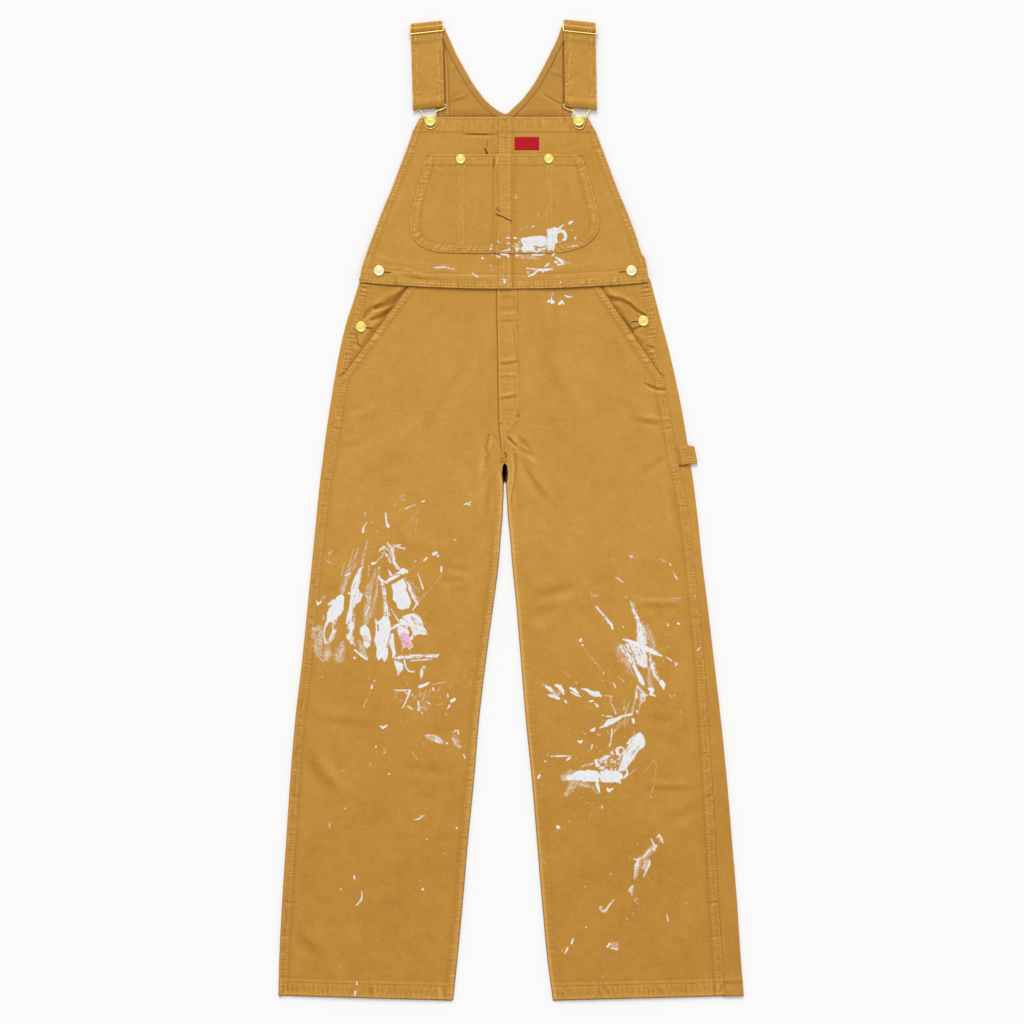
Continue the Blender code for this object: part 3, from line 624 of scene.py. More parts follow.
def walled(name, points, shape, wear_and_shade, seam, nodes, thickness=FOLDED_WALL):
    """A folded cloth piece from the grid of its middle, given its thickness."""
    faces = grid_faces(*shape)
    obj = new_object(name, points, faces, DUCK)
    attribute(obj, "wear_and_shade", wear_and_shade)
    attribute(obj, "seam", seam)
    wall = obj.modifiers.new("wall", "SOLIDIFY")
    wall.thickness = thickness * MM
    wall.offset = 0
    clothes.append((points + (0, 0, CLOTH / 2), faces))
    return settle(obj, nodes)


def settle(obj, nodes=()):
    """The piece rides on the garment and stands for its nodes."""
    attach(obj, "root")
    if nodes:
        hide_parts(*nodes)
    return obj


def edged(width, fine, step, coarse):
    """Places across, in mm from the start, closer together near both edges."""
    near = np.concatenate((np.arange(0, fine, step), [fine]))
    width = np.asarray(width, float)[:, None]
    middle = fine + (width - 2 * fine) * np.linspace(0, 1, coarse + 2)[None, 1:-1]
    left = np.broadcast_to(near[None], (len(width), len(near)))
    return np.concatenate((left, middle, width - near[None, ::-1]), 1)


# --- Materials ------------------------------------------------------------

def new_material(name, **values):
    """A Principled material, its node tree and its shader."""
    material = bpy.data.materials.new(name)
    material.use_nodes = True
    tree = material.node_tree
    shader = tree.nodes["Principled BSDF"]
    for socket, value in values.items():
        shader.inputs[socket.replace("_", " ")].default_value = value
    return material, tree, shader


def node(tree, kind, links=None, **values):
    """A node with its values set and its sockets linked."""
    made = tree.nodes.new(kind)
    for key, value in values.items():
        if hasattr(made, key):
            setattr(made, key, value)
        else:
            made.inputs[key.replace("_", " ")].default_value = value
    for socket, source in (links or {}).items():
        tree.links.new(source, made.inputs[socket])
    return made


def place_in(tree):
    """The point in the garment's own frame, in metres."""
    return node(tree, "ShaderNodeTexCoord").outputs["Object"]


def blotch(tree, vector, size, detail=2.0):
    """Noise from 0 to 1 with blobs of a size in millimetres."""
    made = node(tree, "ShaderNodeTexNoise", {"Vector": vector}, Scale=1000.0 / size, Detail=detail)
    return made.outputs["Fac"]


def spread(tree, source, low, high, start=0.3, end=0.7):
    """A value moved from start..end to low..high."""
    made = node(tree, "ShaderNodeMapRange", {"Value": source},
                From_Min=start, From_Max=end, To_Min=low, To_Max=high)
    return made.outputs["Result"]


def added(tree, first, *others):
    """The sum of several values."""
    for other in others:
        first = times(tree, first, other, "ADD")
    return first


def times(tree, first, second, operation="MULTIPLY"):
    """Two values multiplied, or joined by another sum."""
    made = node(tree, "ShaderNodeMath", {0: first}, operation=operation)
    if isinstance(second, float):
        made.inputs[1].default_value = second
    else:
        tree.links.new(second, made.inputs[1])
    return made.outputs[0]


def mixed(tree, share, first, second):
    """Between two colours, each a tuple or a socket."""
    made = node(tree, "ShaderNodeMix", {"Factor": share}, data_type="RGBA")
    for socket, value in ((6, first), (7, second)):
        if isinstance(value, tuple):
            made.inputs[socket].default_value = (*value, 1.0)
        else:
            tree.links.new(value, made.inputs[socket])
    return made.outputs[2]


def stored(tree, name):
    """A value that a piece stores at its points."""
    return node(tree, "ShaderNodeAttribute", attribute_name=name).outputs["Fac"]


def surface(tree, shader, colour, height=None, strength=0.0, depth=0.0):
    """Give the shader its colour, and a fine bump where there is a height."""
    tree.links.new(colour, shader.inputs["Base Color"])
    if height is not None:
        fine = node(tree, "ShaderNodeBump", {"Height": height}, Strength=strength, Distance=depth)
        tree.links.new(fine.outputs["Normal"], shader.inputs["Normal"])


def weave(tree, vector):
    """Height of crossed yarns with uneven slubs."""
    heights = []
    for along in ((1.0, 0.16, 1.0), (0.16, 1.0, 1.0)):
        stretched = node(tree, "ShaderNodeMapping", {"Vector": vector})
        stretched.inputs["Scale"].default_value = along
        heights.append(blotch(tree, stretched.outputs["Vector"], 1.5, 1.0))
    fine = blotch(tree, vector, 0.9, 2.0)
    return added(tree, *heights, times(tree, fine, 0.8))


def duck(name, colour, rubbed_and_lit, shade):
    """Washed cotton duck: mottled, lighter on ridges and deeper in troughs, part rubbing and part painted
    light and shade.
    """
    material, tree, shader = new_material(name, Roughness=0.95, Sheen_Weight=0.04,
                                          Sheen_Roughness=0.6, Specular_IOR_Level=0.12)
    shader.inputs["Sheen Tint"].default_value = (1.0, 0.9, 0.72, 1.0)
    vector = place_in(tree)
    cloudy = blotch(tree, vector, 70.0, 3.0)
    patchy = blotch(tree, vector, 16.0, 4.0)
    grainy = blotch(tree, vector, 2.6, 3.0)
    roped = blotch(tree, vector, 3.4, 2.0)
    along = node(tree, "ShaderNodeSeparateXYZ", {0: vector}).outputs["Y"]
    yarns = weave(tree, vector)
    tone = added(
        tree, spread(tree, cloudy, -0.09, 0.09), spread(tree, patchy, -0.08, 0.08),
        spread(tree, grainy, -0.10, 0.10), spread(tree, yarns, -0.16, 0.16, 0.9, 1.6),
        times(tree, spread(tree, roped, -0.24, 0.36, 0.32, 0.68), stored(tree, "seam")),
        # The legs are darker toward their feet
        spread(tree, along, -0.36, 0.0, -0.55, 0.0),
        times(tree, stored(tree, "wear_and_shade"), 0.9))
    light = times(tree, tone, 0.0, "MAXIMUM")
    dark = times(tree, times(tree, tone, -1.0), 0.0, "MAXIMUM")
    body = mixed(tree, dark, mixed(tree, light, colour, rubbed_and_lit), shade)
    # Where next to no light gets in
    body = mixed(tree, spread(tree, tone, 1.0, 0.0, -2.2, -1.1), body, (0.03, 0.012, 0.003))
    surface(tree, shader, body, yarns, 0.35, 0.0007)
    return material


DUCK_COLOUR = (0.560, 0.280, 0.050)
DUCK = duck("duck_outside_cloth", DUCK_COLOUR, (0.74, 0.43, 0.115), (0.37, 0.158, 0.020))
INSIDE = duck("duck_inside_cloth", (0.52, 0.262, 0.052), (0.68, 0.40, 0.12), (0.33, 0.15, 0.024))


def brass(name, dull, bright, metallic=0.62):
    """Bright plated brass, with painted shade, a brown tint, where it turns away from the view."""
    material, tree, shader = new_material(name, Metallic=metallic, Roughness=0.30)
    spots = blotch(tree, place_in(tree), 5.0, 3.0)
    # Painted shade: the colour goes brown where the surface turns away from the view
    turned = node(tree, "ShaderNodeLayerWeight", Blend=0.42).outputs["Facing"]
    body = mixed(tree, spread(tree, spots, 0.0, 1.0), dull, bright)
    body = mixed(tree, spread(tree, turned, 0.0, 0.9, 0.25, 0.85), body, (0.36, 0.19, 0.025))
    surface(tree, shader, body)
    return material


def plain(name, colour, rough=0.9, strength=0.2):
    """One colour with a fine grain."""
    material, tree, shader = new_material(name, Roughness=rough, Specular_IOR_Level=0.2)
    fine = blotch(tree, place_in(tree), 1.4, 2.0)
    darker = tuple(part * 0.8 for part in colour)
    body = mixed(tree, spread(tree, fine, 0.0, 1.0), darker, colour)
    surface(tree, shader, body, fine, strength, 0.0004)
    return material


BRASS = brass("brass_metal", (0.98, 0.76, 0.20), (1.0, 0.90, 0.34))
CAP_BRASS = brass("cap_brass", (1.0, 0.80, 0.17), (1.0, 0.93, 0.26), 0.4)
PALE_BRASS = brass("pale_brass", (1.0, 0.93, 0.46), (1.0, 0.97, 0.62), 0.4)
THREAD = plain("tan_thread", (0.72, 0.44, 0.15))
# Painted shade of the needle holes between stitches
NEEDLE_SHADE = plain("needle_hole_shade", (0.45, 0.228, 0.044))
SHADED_THREAD = plain("shaded_thread", (0.26, 0.125, 0.028))
# Painted shade inside slits and openings
SLIT_SHADE = plain("slit_shade", (0.12, 0.05, 0.012))
RED = plain("red_woven", (0.56, 0.006, 0.016), 0.8, 0.5)


# --- Pieces: the body -----------------------------------------------------

ROW = 1.7                          # a leg front's rows are this far apart


def leg_top(side, x, y):
    """Upper face of a leg's front, before its edges."""
    outer, inner = front_outer(side, y), leg(side, "inner", y)
    crowned = crown(x, np.minimum(outer, inner), np.maximum(outer, inner))
    rise = 0.4 + 0.8 * ramp(y, 310, 180)
    soft = ramp(np.abs(x - outer), 4, 26) * ramp(np.abs(x - inner), 2, 16)
    creased = 1.2 * folds(LEG_FOLDS, x, y, 1.8) + folds(THIGH_FOLDS, x, y, 0.9)
    uneven = wrinkles(x, y, LEG_SEEDS[side], 0.32) * (0.3 + 0.7 * soft)
    z = THIRD_TOP + rise * crowned + 0.7 * creased * (0.25 + 0.75 * soft) + uneven
    # Painted shadow cast by the bib's lower edge onto the leg
    shadow_under_bib = -0.9 * bump(bib_foot(x) - y, 1.0, 1.6)
    return layers(z, shadow_under_bib) + trails(LEG_TRAILS, x, y)


def outer_band(side, d, y):
    """The felled side seam, and the hemmed edge of the pocket's mouth."""
    seam = seam_band(d, y, SEAM_WIDTH[side], 0.35, 0.16, 4.4, 21, rows=(0.16, 0.52, 0.88))
    mouth = seam_band(d, y, 11.0, 0.35, 0.24, 5.6, 31, rows=(0.2, 0.85))
    lifted = 1.6 * ramp(d, 16, 0) * (0.6 + 0.4 * noise(y, y * 0, 30, 91))
    share = ramp(y, OPENING_FOOT - 4, OPENING_FOOT + 6)
    return seam * (1 - share) + (mouth + layers(lifted)) * share


def inner_edge(side, d, y):
    """Inside of a leg: a felled seam on the left one, a plain fold on the right."""
    over = np.clip((INNER_ROLL - d) / INNER_ROLL, 0, 1)
    rolled = -2.6 * (1 - np.sqrt(np.clip(1 - over ** 2 * 0.97, 0, 1)))
    gathers = 0.12 * pucker(y, 7.5, 51 if side == "left" else 61) * bump(d, 7, 7)
    # Painted shade along the rolled edge where it turns down, with a faint light line inside it
    edge = layers(rolled + gathers, 0.12 * bump(d, 3.2, 1.6) - 0.55 * bump(d, 0.2, 1.1))
    if side == "left":
        band = seam_band(d, y, 10.5, 0.3, 0.12, 5.4, 71, rows=(0.3, 0.85))
        # This side gets no light edge: the rolled edge keeps its painted shade
        band[1] -= 0.75 * bump(d, 0.5, 0.8)
        edge = edge + band * ramp(y, 10, -60)
    return edge * ramp(y, CROTCH - 2, CROTCH - 26)


def hem_relief(side, d, y):
    """The turned hem: two more layers, roped between its stitches."""
    up = y - HEM
    rope = pucker(d + up * 0.12, 7.0, 81 if side == "left" else 86)
    bite = pucker(d, 4.4, 95)
    bitten = up - 0.7 * bite
    z = (0.45 * ramp(bitten, 25.0, 20.5) + 0.15 * bump(bitten, 23.4, 1.4)
         - 0.35 * bump(up, 20.4, 1.0) + 0.3 * rope * bump(up, 10, 9) - 0.8 * ramp(up, 2.0, 0.0))
    # Colour: the roped cloth lighter on its ridges, a light top edge and foot, part rubbing and part
    # painted light, and painted shade in the row of stitches
    wear_and_shade = (0.26 * rope * bump(up, 11, 9) + 0.36 * bump(bitten, 23.1, 1.3)
            - (0.50 - 0.30 * bite) * bump(up, 20.2, 1.2)
            + 0.12 * bump(up, 17.8, 1.2) + 0.45 * bump(up, 1.3, 1.2))
    return layers(z, wear_and_shade, 0.55 * ramp(up, 23.0, HEM_ROW))


def fly_reach(y):
    """Width of the fly's facing, which rounds in to its edge at the foot."""
    down = np.clip((158 - y) / 40, 0, 1)
    return 29.0 - 20.0 * (1 - np.sqrt(np.clip(1 - down ** 2, 0, 1)))


def fly_relief(x, y):
    """The lapped fly, its stitched edge and cross creases."""
    d = x - leg("right", "inner", y)
    reach, upper = fly_reach(y), ramp(y, 112, 122)
    inside = ramp(d, reach + 1.2, reach - 1.2) * upper
    row = bump(d, reach + 0.4, 0.8) + bump(d, reach - 4.2, 0.7) * ramp(y, 150, 165)
    z = PLY * ramp(d, 90, 34) * ramp(y, 90, 125) + 0.2 * inside - 0.2 * row * upper
    lapped = ramp(y, 84, 98)
    # Colour: a light lapped edge, part rubbing and part painted light, painted shade in the stitch rows,
    # and the crossing creases painted lighter on their ridges and darker in their troughs
    wear_and_shade = 0.55 * bump(d, 1.2, 0.9) * lapped - 0.42 * row * upper + 0.05 * inside
    stitched = 0.7 * bump(d, reach - 1.8, 2.2) * upper
    crossing = folds(FLY_FOLDS, x, y, 0.7) * ramp(d, reach + 2, reach - 4) * 0.6
    return layers(z + crossing, wear_and_shade + 0.35 * crossing, stitched)


def inner_end(side, rows):
    """Where a leg's front ends on the inside, as the cloth lies."""
    # The legs' insides swell toward each other under the crotch
    swell = 2.0 * bump(rows, -8, 30)
    if side == "left":
        swell = swell + (1.1 + 1.9 * bump(rows, 32, 26)) * ramp(rows, 84, 74)
        # The left front runs on under the fly
        swell = swell + 8.0 * ramp(rows, FLY_FOOT - 6, FLY_FOOT + 4)
    else:
        swell = swell + 1.5 * bump(rows, 32, 24)
    opening = 3.6 * ramp(rows, 72, 66) * ramp(rows, 34, 58)
    return leg(side, "inner", rows) - OUT[side] * (swell - opening)


def leg_front(side):
    """A leg's front, from under the bib to the hem; the right one has the fly."""
    rows = np.linspace(FRONT_TOP, HEM, int((FRONT_TOP - HEM) / ROW))
    start, end = front_outer(side, rows), inner_end(side, rows)
    d = edged(np.abs(end - start), 14.0, 1.2, 64)
    x = start[:, None] - OUT[side] * d
    y = rows_over(rows, x)
    from_inner = np.abs(x - end[:, None])
    z = leg_top(side, x, y) + outer_band(side, d, y) + inner_edge(side, from_inner, y)
    z = z + hem_relief(side, d, y)
    if side == "right":
        z = z + fly_relief(x, y)
    else:
        # Painted shadow on the left front beside the edge of the fly
        beside_fly = leg("right", "inner", y) - x
        z = z + layers(0.0, -1.3 * bump(beside_fly, 1.0, 1.2) * ramp(y, 84, 98))
        lapped = (x > leg("left", "inner", y) - 1.0) & (y > CROTCH)
        z[0] = np.where(lapped, THIRD_TOP, z[0])
    obj = cloth("leg_front_" + side, x, y - hem_drop(side, x, y), z, DUCK, ("front_leg_" + side,))


def back_profile(side, y):
    """One row across a leg's back: on the ground, rolled over, up to its seam."""
    out = OUT[side]
    radius = 1.5 + (0.75 - 1.5) * float(ramp(y, OPENING_FOOT - 22, OPENING_FOOT - 2))
    inner, outer, seam = (float(leg(side, name, y)) for name in ("inner", "outer", "seam"))
    if side == "left":
        outer += 1.3 * float(ramp(y, 286, 312))
    inner -= out * 4.2 * float(ramp(y, *CROTCH_FILL[side])) * float(y < CROTCH + 2)
    heel = outer - out * (radius + 0.65)
    places = [(inner, GROUND_MIDDLE), (inner + (heel - inner) * 0.5, GROUND_MIDDLE),
              (heel - out * 8, GROUND_MIDDLE)]
    for step in range(ROLL_STEPS + 1):
        turn = math.pi * step / ROLL_STEPS
        places.append((heel + out * radius * math.sin(turn),
                       GROUND_MIDDLE + radius * (1 - math.cos(turn))))
    ripple = 0.35 * float(noise(np.array([y]), np.array([7.0 * out]), 24, 131, 2)[0])
    reach = abs(heel - seam) + 1.5
    # Two columns lie just beside the seam, where the front's edge shades it
    beside = [max(least, 1 - away / reach) for least, away in ((0.75, 3.6), (0.8, 1.9))]
    for share in (0.35, 0.7, *beside, 1.0):
        lift = ripple * math.sin(math.pi * min(share, 0.9)) + 0.25 * (1 - share)
        places.append((heel - out * reach * share, GROUND_MIDDLE + 2 * radius + lift))
    return [(x, y - float(hem_drop(side, x, y)), z) for x, z in places]


def leg_back(side):
    """A leg's back: on the ground, rolled over the side, sewn at the seam."""
    rows = np.linspace(BACK_TOP, HEM - 1.8, 440)
    points = np.array([back_profile(side, y) for y in rows])
    shade = np.zeros(points.shape[:2])
    shade[:, 0] = -3.0 * ramp(rows, 6, 40) * ramp(rows, 84, 76) - 0.5
    up = rows - HEM
    hem = 0.4 * bump(up, 24, 2.2) - 0.8 * bump(up, HEM_ROW, 2.2) + 0.16 * bump(up, 12, 6)
    shade[:, 8:] = hem[:, None]
    shade[:, 15:] -= 0.9 * ramp(rows, OPENING_FOOT + 6, OPENING_FOOT - 4)[:, None]
    if side == "right":
        # Under the hammer loop
        shade[:, 11:] -= 1.6 * bump(rows, 66.5, 2.6)[:, None]
    obj = walled("leg_back_" + side, points.reshape(-1, 3), shade.shape, shade, shade * 0,
                 ("back_leg_" + side,), CLOTH)


def facing(side):
    """The deep soft folds in the pocket's mouth."""
    out = OUT[side]
    rows = np.linspace(FRONT_TOP, 199, 130)
    start, end = leg(side, "seam", rows) - out * 0.3, slant(side, rows) - out * 20
    x = start[:, None] + (end - start)[:, None] * np.linspace(0, 1, 90)[None]
    y = rows_over(rows, x)
    d = np.abs(x - start[:, None])
    # How far a place lies outside the mouth, and is free of the leg's front
    clear = (x - slant(side, y)) * out
    free = ramp(clear, -1.0, 13.0) * ramp(y, 200, 214)
    swell = folds(FACING_FOLDS[side], x, y, 1.0) * free * (0.35 + 0.65 * ramp(d, 2, 12))
    band = seam_band(d, y, 10.5, 0.35, 0.30, 5.4, 141, rows=(0.2, 0.8)) * ramp(clear, -1.0, 3.0)
    z = SECOND_TOP + 0.6 * swell + 1.2 * free + 0.3 * wrinkles(x, y, 151)
    creases = trails(FACING_TRAILS[side], x, y)
    creases[0] *= ramp(clear, 0, 5)
    shade = -0.10 - 0.30 * bump(clear, 1.0, 8.0) - 0.75 * bump(clear, 0.2, 1.8)
    shade = shade - 0.55 * bump(bib_foot(x) - y, 1.0, 1.5)
    relief = layers(z, shade) + band + creases
    relief[0] = np.where(clear < 1.0, np.minimum(relief[0], 2.9), np.maximum(relief[0], 1.9))
    obj = cloth("facing_" + side, x, y, relief, DUCK, ("pocket_facing_" + side,))


# --- Pieces: the bib ------------------------------------------------------

def bib_climb(y):
    """How far the bib rises towards its foot over what lies below it."""
    return 1.8 * np.clip((BIB_TOP - y) / (BIB_TOP - BIB_FOOT), 0, 1)


def bib_top(x, y, left, right):
    """Upper face of the bib without its laps and hems."""
    climb = bib_climb(y) + 1.7 * ramp(y, 396, 345)
    relief = folds(BIB_FOLDS, x, y) + wrinkles(x, y, 201, 0.3)
    soft = 0.3 + 0.7 * ramp(np.minimum(np.abs(x - left), np.abs(right - x)), 2, 16)
    return SECOND_TOP + climb + 1.8 * crown(x, left, right) + relief * soft


def bib_relief(x, edge, hung):
    """Side hems, top band and the waist hem of the bib."""
    total = seam_band(edge, hung, 11.0, 0.3, 0.12, 5.4, 211, rows=(0.22, 0.85)) * ramp(hung, 352, 372)
    top = seam_band(BIB_TOP - hung, x, 22.5, 0.3, 0.045, 8.5, 221, rows=(0.10, 0.95))
    top[2] *= 0.45
    up = hung - BIB_FOOT
    waist = seam_band(up, x, 10.5, 0.3, 0.14, 5.0, 231, rows=(0.26, 0.80))
    turned = 0.25 * ramp(up, 22.5, 20.5)
    # The turned waist edge: a light line, part rubbing and part painted light, and a line of painted shade
    # beside it
    line = layers(turned - 0.25 * bump(up, 21.2, 1.0),
                  0.25 * bump(up, 19.4, 1.0) - 0.34 * bump(up, 21.4, 1.0), turned)
    return total + top + waist + line


def to_pocket_edge(x, y):
    """Distance to the pocket's edge, going round its corners."""
    outline = np.concatenate((POCKET_LEFT[:, ::-1], POCKET_RIGHT[::-1, ::-1]))
    nearest = np.full(x.shape, 1e9)
    for first, second in zip(outline, outline[1:]):
        nearest = np.minimum(nearest, to_segment(x, y, first, second)[1])
    return nearest


def beside_pocket(x, y):
    """The shade in which the bib lies just outside its pocket."""
    return -(0.45 + 0.5 * ramp(y, 440, 388)) * bump(to_pocket_edge(x, y), 0, 1.5)


def bib_half(side):
    """Half of the bib; the right one laps over the left at the centre."""
    rows = np.linspace(BIB_TOP, BIB_FOOT, 230)
    left, right = curve(BIB, rows, 1), curve(BIB, rows, 2)
    start, end = {"left": (left, LAP_RIGHT), "right": (right, LAP_LEFT)}[side]
    d = edged(np.abs(end - start), 13.5, 1.1, 110)
    x = start[:, None] - OUT[side] * d
    hung = rows_over(rows, x)
    off_corner = np.clip(BIB_CORNER - d, 0, None)
    corner = BIB_CORNER - np.sqrt(np.clip(BIB_CORNER ** 2 - off_corner ** 2, 0, None))
    y = hung - bib_sag(x, rows[:, None]) - corner * ramp(hung, 565, BIB_TOP)
    flat = bib_top(x, hung, left[:, None], right[:, None])
    z = layers(flat, beside_pocket(x, y)) + bib_relief(x, d, hung) + trails(BIB_TRAILS, x, y)
    if side == "right":
        over = ramp(x, LAP_RIGHT + 9.0, LAP_RIGHT + 0.2)
        lap = seam_band(x - LAP_LEFT, y, 12.8, 0.0, 0.10, 5.0, 241, rows=(0.18, 0.86))
        z = z + layers((PLY + 0.2) * over) + lap
    else:
        # Painted shadow on the left half beside the edge of the right half's lap
        z = z + layers(0.0, -0.6 * bump(LAP_LEFT - x, 0.8, 1.1))
        z[0] = np.where(x > LAP_LEFT + 0.5, flat - 0.2, z[0])
    obj = cloth("bib_cloth_" + side, x, y, z, DUCK, ("bib_" + side,))


def over_bib(x, y):
    """Upper face of the bib with the lap of its centre seam, for what lies on it."""
    left, right = curve(BIB, y, 1), curve(BIB, y, 2)
    lap = ramp(x, LAP_LEFT - 9.0, LAP_LEFT - 0.5) * ramp(x, LAP_RIGHT + 12.0, LAP_RIGHT + 0.5)
    return SECOND_TOP + bib_climb(y) + 1.8 * crown(x, left, right) + PLY * lap


def round_foot(share):
    """Heights up the pocket's round foot, close together at its lowest part."""
    return POCKET_FOOT + 45 * share ** 2


def pocket_rows():
    """Heights of the pocket's rows, from its top to its foot."""
    return np.concatenate((np.linspace(POCKET_TOP, 431.2, 92), round_foot(np.linspace(1, 0, 56))))


def pocket_top(x, y):
    """Upper face of the big pocket, without its stitching."""
    left, right = curve(POCKET_LEFT, y), curve(POCKET_RIGHT, y)
    bag = 1.2 * crown(x, left, right) * ramp(y, POCKET_FOOT, 425)
    relief = folds(POCKET_FOLDS, x, y) + wrinkles(x, y, 251, 0.3)
    return over_bib(x, y) + PLY + bag + relief


def bib_pocket():
    """The wide pocket on the bib, with its hems."""
    rows = pocket_rows()
    left, right = curve(POCKET_LEFT, rows), curve(POCKET_RIGHT, rows)
    x = left[:, None] + edged(right - left, 13.5, 1.1, 150)
    y = rows_over(rows, x)
    edge = to_pocket_edge(x, y)
    around = 110 * np.arctan2(x - POCKET_MIDDLE, 470 - y)
    hem = seam_band(edge, around, 12.5, 0.3, 0.13, 5.6, 261, rows=(0.22, 0.92))
    top = seam_band(POCKET_TOP - y, x, 16.0, 0.3, 0.06, 5.2, 271, rows=(0.16, 0.94))
    top[2] *= 0.7
    z = layers(pocket_top(x, y) - 0.5 * ramp(edge, 1.6, 0.0)) + top
    z = z + hem * ramp(y, POCKET_TOP, 521) + trails(POCKET_TRAILS, x, y)
    obj = cloth("pocket_cloth", x, y, z, DUCK, ("bib_pocket",))


def pocket_strip(side):
    """A narrow strip sewn down the pocket."""
    low, high = STRIPS[side]
    tall, edges = (0.8, 0.18) if side == "centre" else (0.95, 0.35)
    rows = np.linspace(531.5, 391.5, 120)
    x, y = np.meshgrid(np.linspace(low, high, 15), rows)
    d = np.minimum(x - low, high - x)
    z = pocket_top(x, y) + tall - 0.2 * bump(d, 2.0, 0.8) - 0.35 * ramp(d, 1.2, 0)
    z = z + 0.10 * pucker(y, 5.2, 281 + int(low)) * ramp(d, 0, 4)
    # Light edges, part rubbing and part painted light, painted shade along each stitch row and a light
    # bead beside it
    wear_and_shade = edges * bump(d, 0.3, 0.8) - 0.30 * bump(d, 2.1, 0.8) + 0.2 * bump(d, 3.8, 0.9)
    obj = cloth("strip_cloth_" + side, x, y, layers(z, wear_and_shade, 0.8), DUCK,
                ("pocket_strip_" + side,), blur=(4, 2))


# --- Pieces: the high back ------------------------------------------------

def neck_line():
    """The V neck as a smooth line, left strap to right strap."""
    steps = run_length(NECK[:, 0], NECK[:, 1])
    fine = np.linspace(0, steps[-1], 190)
    lines = []
    for at in (0, 1):
        values = np.interp(fine, steps, NECK[:, at])
        padded = np.concatenate((np.full(4, values[0]), values, np.full(4, values[-1])))
        smooth = np.convolve(padded, np.ones(9) / 9, "valid")
        smooth[0], smooth[-1] = NECK[0, at], NECK[-1, at]
        lines.append(smooth)
    return lines


def strap_middle(side, down):
    """Middle of a strap, down from its fold at the shoulder."""
    top, foot = STRAPS[side]
    return top + (foot - top) * down / BUCKLE_DOWN


def yoke_half(side):
    """Grids of half of the high back, from an armhole to the neck."""
    table = YOKES[side]
    rows = np.concatenate((np.linspace(722, 606, 80), np.linspace(605, 592.2, 22),
                           np.linspace(588, 345.3, 40)))
    line = NECK[:8] if side == "left" else NECK[:6:-1]
    neck = np.interp(rows, line[::-1, 1], line[::-1, 0])
    outer = curve(table, rows)
    x = outer[:, None] + (neck - outer)[:, None] * np.linspace(0, 1, 84)[None]
    y = rows_over(rows, x)
    d = np.abs(x - outer[:, None])
    z = GROUND_TOP + 0.35 * wrinkles(x, y, 301) + folds(YOKE_FOLDS, x, y, 0.8)
    hem = seam_band(d, y, 10.0, 0.5, 0.14, 6.0, 311, rows=(0.2, 0.85)) * ramp(y, 560, 600)
    down = STRAP_TOP - y
    from_strap = np.abs(x - strap_middle(side, down) + OUT[side] * STRAP_WIDTH / 2)
    from_neck = np.abs(x - neck[:, None])
    # Painted shadow of the strap along its edge, painted shade along the yoke just above the bib's top,
    # and a line of painted shade beside the neck hem
    wear_and_shade = -1.7 * bump(from_strap, 0.8, 2.2) * ramp(down, 128, 120)
    wear_and_shade = wear_and_shade - 0.9 * bump(y, 591, 3.6) - 0.9 * bump(from_neck, 10.2, 1.2) * ramp(y, 592, 600)
    relief = layers(z, wear_and_shade) + hem + trails(YOKE_TRAILS, x, y)
    relief[0] = np.maximum(relief[0], 0.9)
    return x, y, relief


def yoke():
    """The high back, seen inside out, with its armholes hemmed."""
    left, right = (rimmed_grid(*yoke_half(side), (4, 4), 0.9) for side in SIDES)
    points = np.concatenate((left[0], right[0]))
    faces = np.concatenate((left[1], right[1][:, ::-1] + len(left[0])))
    wear_and_shade, seam = (np.concatenate((left[at], right[at])) for at in (2, 3))
    obj = dressed("yoke_cloth", points, facing_up(points, faces), wear_and_shade, seam, INSIDE,
                  ("back_yoke",))


def neck_hem():
    """The turned hem round the V neck."""
    line_x, line_y = neck_line()
    run_x, run_y = np.gradient(line_x), np.gradient(line_y)
    size = np.hypot(run_x, run_y)
    d = np.array((0, 0.5, 1.2, 2.0, 2.8, 3.6, 4.4, 5.0, 5.6, 6.2, 6.8, 7.4, 8.0, 8.4, 8.8))[None]
    x = line_x[:, None] + (run_y / size)[:, None] * d
    y = line_y[:, None] - (run_x / size)[:, None] * d
    # Its ends are drawn in under the straps
    end = YOKES["left"][0, 0] + 2.0
    y = np.where(y > end, end + (y - end) * 0.4, y)
    z = 2.5 - 0.2 * bump(d, 1.6, 0.7) - 0.3 * bump(d, 7.0, 0.8) - 0.5 * ramp(d, 7.8, 8.8)
    along = run_length(line_x, line_y)[:, None]
    z = z + 0.10 * pucker(along + d * 0.2, 5.4, 331) * bump(d, 4.2, 3.2)
    # Light and dark lines along the hem, part rubbing and part painted light and shade at its folds and
    # stitch rows
    wear_and_shade = (0.25 * bump(d, 0.4, 0.8) - 0.65 * bump(d, 5.0, 0.6) + 0.45 * bump(d, 6.2, 0.6)
            - 0.75 * bump(d, 7.5, 0.6) + 0.2 * bump(d, 8.6, 0.4))
    obj = cloth("neck_hem_cloth", x, y, layers(z, wear_and_shade, 0.45), INSIDE, ("neck_hem",),
                (4, 2))


# --- Straps and their wires -----------------------------------------------

def strap_point(side, across, down, z):
    """A place on a strap, from its own measures to the garment's frame."""
    x = strap_middle(side, down) + OUT[side] * across
    return x, STRAP_TOP - down - STRAP_SKEW * across, z


def arc(down, z, radius, start, end, parts):
    """Places round a turn in the side view, in degrees from straight up."""
    turns = [math.radians(start + (end - start) * part / parts) for part in range(parts + 1)]
    return [(down + radius * math.sin(turn), z + radius * math.cos(turn)) for turn in turns]


